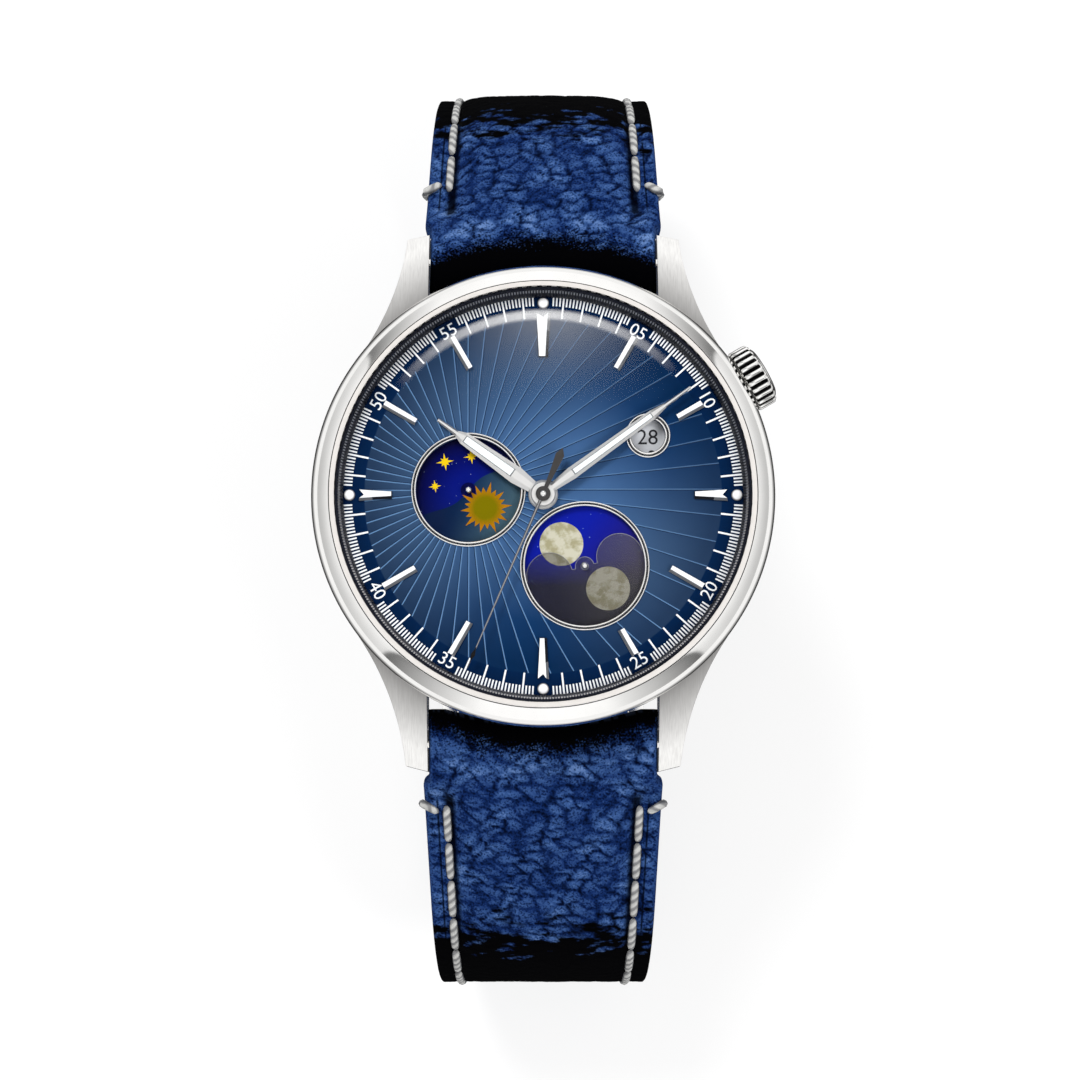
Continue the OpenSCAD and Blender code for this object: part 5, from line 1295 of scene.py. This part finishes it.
def addStrap(name, strap, paint):
    # closed tube of cross-sections: padded outer face, rounded edges, flat lining; the long strap
    # ends in a tip of its own radius
    g = strapShape
    line = strapLine(strap)
    total, isLong, across, bends = line["total"], strap["side"] < 0, g["across"], g["bends"]
    lug = -g["roll"] * np.cos(np.radians(np.linspace(0, 80, 9)))
    last = total - g["endRound"] * (1 - np.cos(np.radians(np.linspace(80, 0, 7))))
    s = np.concatenate([lug, np.arange(-0.2, last[0] - 0.1, g["step"]), last])[:, None]
    width = strapWidth(np.maximum(s, 0))
    if isLong:
        left = np.clip(total - s, 0.02, g["tipLength"])
        tip = 2 * np.sqrt(g["tipRadius"] ** 2 - (g["tipRadius"] - left) ** 2)
        width = np.where(left < g["tipLength"], np.minimum(width, tip), width)
    t = np.linspace(-1, 1, across)[None, :]
    flat = width / 2 - g["corner"]
    xTop = flat * t
    grain, crease = leatherGrain(s, xTop, 3 if isLong else 8)
    up = topHeight(np.maximum(s, 0), xTop)
    under = np.maximum(g["edge"], np.sqrt(np.maximum(g["roll"] ** 2 - s * s, 0)) * 0.98)
    under = g["edge"] + (under - g["edge"]) * (s < 3)
    before = np.abs(np.minimum(s, 0) / g["roll"])
    blunt, rounded = (np.maximum(1 - before ** power, 0) ** (1 / power) for power in (3.5, 2))
    ending = 1.0 if isLong else g["shortEnding"]
    beyond = np.maximum(s - (total - g["endRound"]), 0) / g["endRound"]
    close = np.sqrt(np.maximum(1 - beyond ** 2, 0.0))
    close = close * (1 + (ending - 1) * np.clip((s - total + 3) / 1.5, 0, 1))
    up = (up + g["grain"] * (grain - 0.6) * (s > 0.2)) * blunt * close
    under = under * rounded * close
    a = np.radians(np.linspace(80, -80, bends))[None, :]
    edgeX = flat + g["corner"] * np.cos(a) ** 0.6
    half, level = (up[:, -1:] + under) / 2, (up[:, -1:] - under) / 2
    halfLeft, levelLeft = (up[:, :1] + under) / 2, (up[:, :1] - under) / 2
    x = np.concatenate([xTop, edgeX, -xTop, -edgeX[:, ::-1]], 1)
    h = np.concatenate([up, level + half * np.sin(a), -under + 0 * t,
                        (levelLeft + halfLeft * np.sin(a))[:, ::-1]], 1)
    # before the bar each column carries on until it meets the curve beside the case
    curve = np.maximum(g["endCorner"], g["endMiddle"] - g["endCurve"] * x ** 2)
    stretch = (g["bar"] - curve) / math.cos(math.radians(g["slope"])) / g["roll"]
    along = np.where(s < 0, s * stretch, s + 0 * x)
    rows, columns = x.shape
    height, lines = np.ones_like(x) * 0.6, np.zeros_like(x)
    height[:, :across], lines[:, :across] = grain, crease
    # the face's slope along the strap, which the leather's painted light reads
    slope = np.zeros_like(x)
    slope[:, :across] = np.gradient(up, axis=0) / np.gradient(s, axis=0)
    lining = np.zeros_like(x)
    lining[:, across + bends:2 * across + bends] = 1
    points = onStrap(line, along, x, h)
    fromCrest = np.where(s < 11, np.hypot(points[..., 0], points[..., 1]) - strap["crest"], 9)
    values = {"along": along, "inside": width / 2 - np.abs(x), "grain": height, "crease": lines,
              "slope": slope, "lining": lining, "bend": s - line["bend"] + 0 * x,
              "fromCrest": fromCrest}
    piece = addPiece(name, points, gridFaces(rows, columns, wrapColumns=True), paint, "case",
                     "strap", sharp=60, values=values)
    low, high = strap["floor"] - 3, strap["floor"] + 3
    cutters = [(np.array([(side * w / 2, y + end * l / 2, z) for z in (low, high)
                          for side, end in ((-1, -1), (1, -1), (1, 1), (-1, 1))]),
                prismFaces(4)) for y, w, l in strap["slots"]]
    circle = arc((0, 0), 1.0, 0, 330, 12)
    for y in strap["holes"]:
        ring = [np.column_stack([circle + (0, y), np.full(12, z)]) for z in (low, high)]
        cutters.append((np.concatenate(ring), prismFaces(12)))
    cutHoles(piece, cutters)
    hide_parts(strap["node"])
    return line


leatherColours = {"deep": (1, 5, 24), "body": (15, 37, 84), "bright": (48, 76, 126),
                  "peak": (92, 120, 168), "lining": (40, 46, 62), "shadeBlack": (0, 0, 1)}


def leather(name):
    # grained calf with painted light: shade in the creases, light on the cells and along a crest
    # that runs round the case, dotted all over, black shade between the crest and the case and over
    # the bends
    graph = material(name)
    c = allLinear(leatherColours)
    grain, along = graph.attribute("grain"), graph.attribute("along")
    inside, bend = graph.attribute("inside"), graph.attribute("bend")
    fromCrest = graph.attribute("fromCrest")
    blotch = graph.noise(graph.place(stretch=(0.6, 1, 1)), 0.55, 4)
    smear = graph.noise(graph.place(stretch=(0.4, 1.2, 1.2)), 0.9, 4)
    speck = graph.noise(graph.place(), 5.0, 2)
    crest = (1 - abs(fromCrest) / 1.7).atLeast(0)
    # painted light: brighter on the cells' tops and the crest, darker where the face rises along
    # the strap
    value = (grain - 0.6) * 0.7 + (blotch - 0.5) * 0.7 + (speck - 0.5) * 0.5 + 0.44
    value = value + crest * 0.24 - graph.attribute("slope") * 0.35
    tone = graph.ramp(value, [(0.0, c["deep"]), (0.34, c["body"]), (0.68, c["bright"]),
                              (1.0, c["peak"])])
    tone = graph.mix(tone, c["deep"], speck.under(0.43, 0.08) * 0.6)
    # painted shade: the creases darken to the deepest blue
    lines = graph.attribute("crease") * 1.2 * smear.over(0.38, 0.2)
    tone = graph.mix(tone, c["deep"], lines.atMost(0.95))
    # painted shade in black: by the case, over the bends and in the groove beside the stitches;
    # also a thin dark margin line
    shadeAndLine = (fromCrest + (speck - 0.5) * 4 + (blotch - 0.5) * 2).under(-1.6, 1.3)
    band = (bend + (smear - 0.5) * 16 - (grain - 0.6) * 2.4).over(3.2, 2.2) * bend.under(18, 6)
    seamShade = abs(inside - strapShape["stitchIn"] - 0.35).under(0.45, 0.4)
    seamShade = seamShade * (along + (blotch - 0.5) * 2).over(4.6, 0.8) * 0.92
    slit = abs(inside - 1.25).under(0.09, 0.1) * blotch.over(0.36, 0.1) * along.over(5.2, 1.0)
    shadeAndLine = shadeAndLine.atLeast(band).atLeast(seamShade).atLeast(slit * 0.85)
    tone = graph.mix(tone, c["shadeBlack"], shadeAndLine)
    tone = graph.mix(tone, c["lining"], graph.attribute("lining"))
    return graph.surface(colour=tone, roughness=speck * 0.2 + 0.55, specular=0.015,
                         normal=graph.bump(speck, 0.03))


stitchShape = {"gap": 0.24, "radius": 0.41, "lift": 0.14, "strand": 1.15, "light": (178, 178, 176),
               "shade": (112, 112, 114), "outline": (58, 60, 66), "slant": 0.9, "beyond": 0.2,
               "across": 8, "dip": 0.3, "liningLift": 0.06, "longRest": 6.2, "shortRest": 4.5}


def tube(path, up, radius, across):
    # a round thread along a path; radius is given for each point of it
    path, radius = np.asarray(path), np.asarray(radius)
    along = np.gradient(path, axis=0)
    along /= np.linalg.norm(along, axis=1)[:, None]
    side = np.cross(along, up)
    side /= np.linalg.norm(side, axis=1)[:, None]
    over = np.cross(side, along)
    a = np.linspace(0, 2 * math.pi, across, endpoint=False)[None, :, None]
    ring = side[:, None, :] * np.cos(a) + over[:, None, :] * np.sin(a)
    points = path[:, None, :] + ring * radius[:, None, None]
    rows = len(path)
    faces = gridFaces(rows, across, wrapColumns=True).tolist()
    faces += [list(range(across))[::-1], list(range((rows - 1) * across, rows * across))]
    return points.reshape(-1, 3), faces


def threadPaint():
    # white twisted thread: slanting grey lines of painted shade along its twist, painted shade at
    # its sides and ends
    graph = material("twisted thread")
    k = stitchShape
    length, offset, end = (graph.attribute(name) for name in ("length", "offset", "end"))
    wave = ((length * k["strand"] + offset * 0.9) * (2 * math.pi)).maths("SINE")
    fuzz = graph.noise(graph.place(), 6.0, 3)
    tone = graph.mix(rgb(*k["light"]), rgb(*k["shade"]), wave.over(0.2, 1.1) * 0.9)
    tone = graph.mix(tone, rgb(*k["shade"]), (fuzz - 0.45) * 0.4)
    # painted shade: a dark outline where the thread turns away and at its ends
    side = abs(offset).over(0.8 * k["radius"], 0.2 * k["radius"])
    tone = graph.mix(tone, rgb(*k["outline"]), side.atLeast(end.under(0.12, 0.12)) * 0.8)
    return graph.surface(colour=tone, roughness=0.8, specular=0.05,
                         normal=graph.bump(wave, 0.05))


def addStitches(name, line, strap, paint):
    # rows of stitches beside both edges, on the outer face and the lining, and one over each edge
    g, k = strapShape, stitchShape
    first, pitch, across = strap["firstStitch"], strap["pitch"], k["across"]
    parts, length, offset, end = [], [], [], []
    last = line["total"] - (k["longRest"] if strap["side"] < 0 else k["shortRest"])

    def addThread(s, x, h, t):
        # a thread with round ends: radius * sqrt(1 - (1 - 2 t)^8)
        middle = onStrap(line, s, x, h)
        angle = np.interp(s, line["s"], line["heading"])
        up = np.stack([0 * angle, -np.sin(angle) * line["side"], np.cos(angle)], -1)
        swell = k["radius"] * np.sqrt(np.maximum(1 - (2 * t - 1) ** 8, 0.02))
        parts.append(tube(middle, up, swell, across))
        run = np.concatenate([[0], np.cumsum(np.linalg.norm(np.diff(middle, axis=0), axis=1))])
        length.append(np.repeat(run, across))
        end.append(np.repeat(np.minimum(run, run[-1] - run), across))
        turn = np.cos(np.linspace(0, 2 * math.pi, across, endpoint=False))
        offset.append(np.tile(turn, len(t)) * np.repeat(swell, across) * line["side"])
    t = np.concatenate([[0, 0.02, 0.06], np.linspace(0.14, 0.86, 7), [0.94, 0.98, 1]])
    for side in (-1, 1):
        for start in np.arange(first, last - pitch, pitch):
            s = start + t * (pitch - k["gap"])
            x = side * (strapWidth(s) / 2 - g["stitchIn"])
            dip = k["dip"] * (2 * t - 1) ** 8
            addThread(s, x, topHeight(s, np.abs(x)) + k["lift"] - dip, t)
            addThread(s, x, -(g["edge"] + k["liningLift"] - dip), t)
        # the cross stitch: inwards to outwards on top, slanting towards the case, upright down
        # past the edge and back right under itself
        half = strapWidth(first) / 2
        inner, outer = half - g["stitchIn"] + 2 * k["radius"], half + k["beyond"]
        run = np.interp(t, [0, 0.42, 0.58, 1], [inner, outer, outer, inner])
        high = np.interp(t, [0, 0.06, 0.4, 0.6, 1], [1.1, 1.45, 1.4, -1.2, -1.15])
        slant = first + 0.4 - k["slant"] * (run - inner) / (outer - inner)
        below = np.maximum(1.4 - high, 0) * math.tan(math.radians(g["slope"]))
        addThread(slant + below, side * run, high + 0.1, t)
    values = {"length": np.concatenate(length), "offset": np.concatenate(offset),
              "end": np.concatenate(end)}
    addPiece(name, *stacked(parts), paint, "case", "strap", sharp=80, values=values, merge=False)


hide, thread = leather("grained leather"), threadPaint()
for strapName, strap in straps.items():
    strapRun = addStrap(strapName + "Strap", strap, hide)
    addStitches(strapName + "Stitches", strapRun, strap, thread)
print("straps made")


keeperShape = {"inX": 9.2, "outX": 10.6, "inLow": 1.4, "inHigh": 6.4, "high": 7.8, "width": 5.2,
               "outRound": 1.1, "inRound": 0.15, "swell": 0.12,
               "rows": {"fixedKeeper": (0, "case", "keeper_fixed"),
                        "freeKeeper": (11, "keeper", "keeper_free")}}


def addKeepers():
    # a band of leather round both layers: a rounded box path carried across the band's width
    k = keeperShape
    for name, (middle, body, node) in k["rows"].items():
        a = np.radians(np.arange(0, 360, 6))
        corner = np.stack([np.cos(a), np.sin(a)], -1)
        quadrant = np.sign(np.round(corner, 6) + 1e-9)
        centre = np.array([0, k["high"] / 2])
        halfOut = np.array([k["outX"], k["high"] / 2])
        halfIn = np.array([k["inX"], (k["inHigh"] - k["inLow"]) / 2])
        outer, inner = (centre + quadrant * (size - bend) + corner * bend
                        for size, bend in ((halfOut, k["outRound"]), (halfIn, k["inRound"])))
        half = k["width"] / 2
        across = np.concatenate([np.linspace(-1, 1, 13), [1, 1, 1], np.linspace(1, -1, 5),
                                 [-1, -1, -1]])
        depth = np.concatenate([np.zeros(13), [0.25, 0.5, 0.75], np.ones(5), [0.75, 0.5, 0.25]])
        swell = np.concatenate([1 - np.linspace(-1, 1, 13) ** 6, np.zeros(11)])
        ring = (outer[:, None, :] * (1 - depth)[None, :, None]
                + inner[:, None, :] * depth[None, :, None])
        ring += corner[:, None, :] * ((swell - 1) * k["swell"] * (depth < 0.1))[None, :, None]
        points = np.stack([ring[..., 0], middle + half * np.broadcast_to(across, ring.shape[:2]),
                           ring[..., 1]], -1)
        rows, columns = points.shape[:2]
        grain, crease = leatherGrain(points[..., 0] + points[..., 2] + 0 * points[..., 1],
                                     points[..., 1], 5)
        plain = np.ones((rows, columns))
        values = {"along": plain * 12, "grain": grain, "crease": crease, "inside": plain * 5,
                  "slope": plain * 0, "bend": plain * -9, "fromCrest": plain * 9,
                  "lining": plain * (depth > 0.9)}
        piece = addPiece(name, points, gridFaces(rows, columns, True, True), hide, body, "strap",
                         values=values, merge=False)
        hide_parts(node)


addKeepers()
print("keepers made")


# Movement

metals = {"plate": (206, 200, 190), "bridge": (216, 213, 208), "brass": (214, 178, 104),
          "steel": (208, 207, 205), "blue": (44, 74, 168), "holder": (150, 148, 146),
          "ruby": (186, 18, 56)}


def middleOf(node):
    # the middle of a CAD node's box, in mm
    low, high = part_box(node)
    return (low[0] + high[0]) / 2 / mm, (low[1] + high[1]) / 2 / mm


dress(circledMetal("circled plate", metals["plate"]), "mainplate")
dress(stripedMetal("striped bridge", metals["bridge"], 1.7, 30), "train_bridge", "barrel_bridge",
      "balance_cock", "pallet_cock")
dress(stripedMetal("striped rotor", metals["bridge"], 2.2, 90), "rotor")
for wheel in ("barrel", "second_wheel", "third_wheel", "fourth_wheel", "minute_wheel",
              "setting_wheel", "hour_wheel", "reduction_wheel", "balance_wheel"):
    dress(turnedMetal(wheel + " brass", metals["brass"], middleOf(wheel)), wheel)
for wheel in ("ratchet_wheel", "reverser_wheel", "escape_wheel"):
    dress(turnedMetal(wheel + " steel", metals["steel"], middleOf(wheel)), wheel)
dress(turnedMetal("holder ring", metals["holder"]), "movement_holder")
dress(polishedSteel("movement steel", metals["steel"], 0.22), "casing_clamps", "mainspring",
      "pallet_fork", "driving_pinion", "cannon_pinion", "winding_stem", "sliding_pinion")
dress(polishedSteel("blued steel", metals["blue"], 0.18), "bridge_screws", "rotor_screw",
      "hairspring")
dress(lacquer("ruby", metals["ruby"], 0.12, 0.5, 0.4), "jewels")
print("movement dressed")
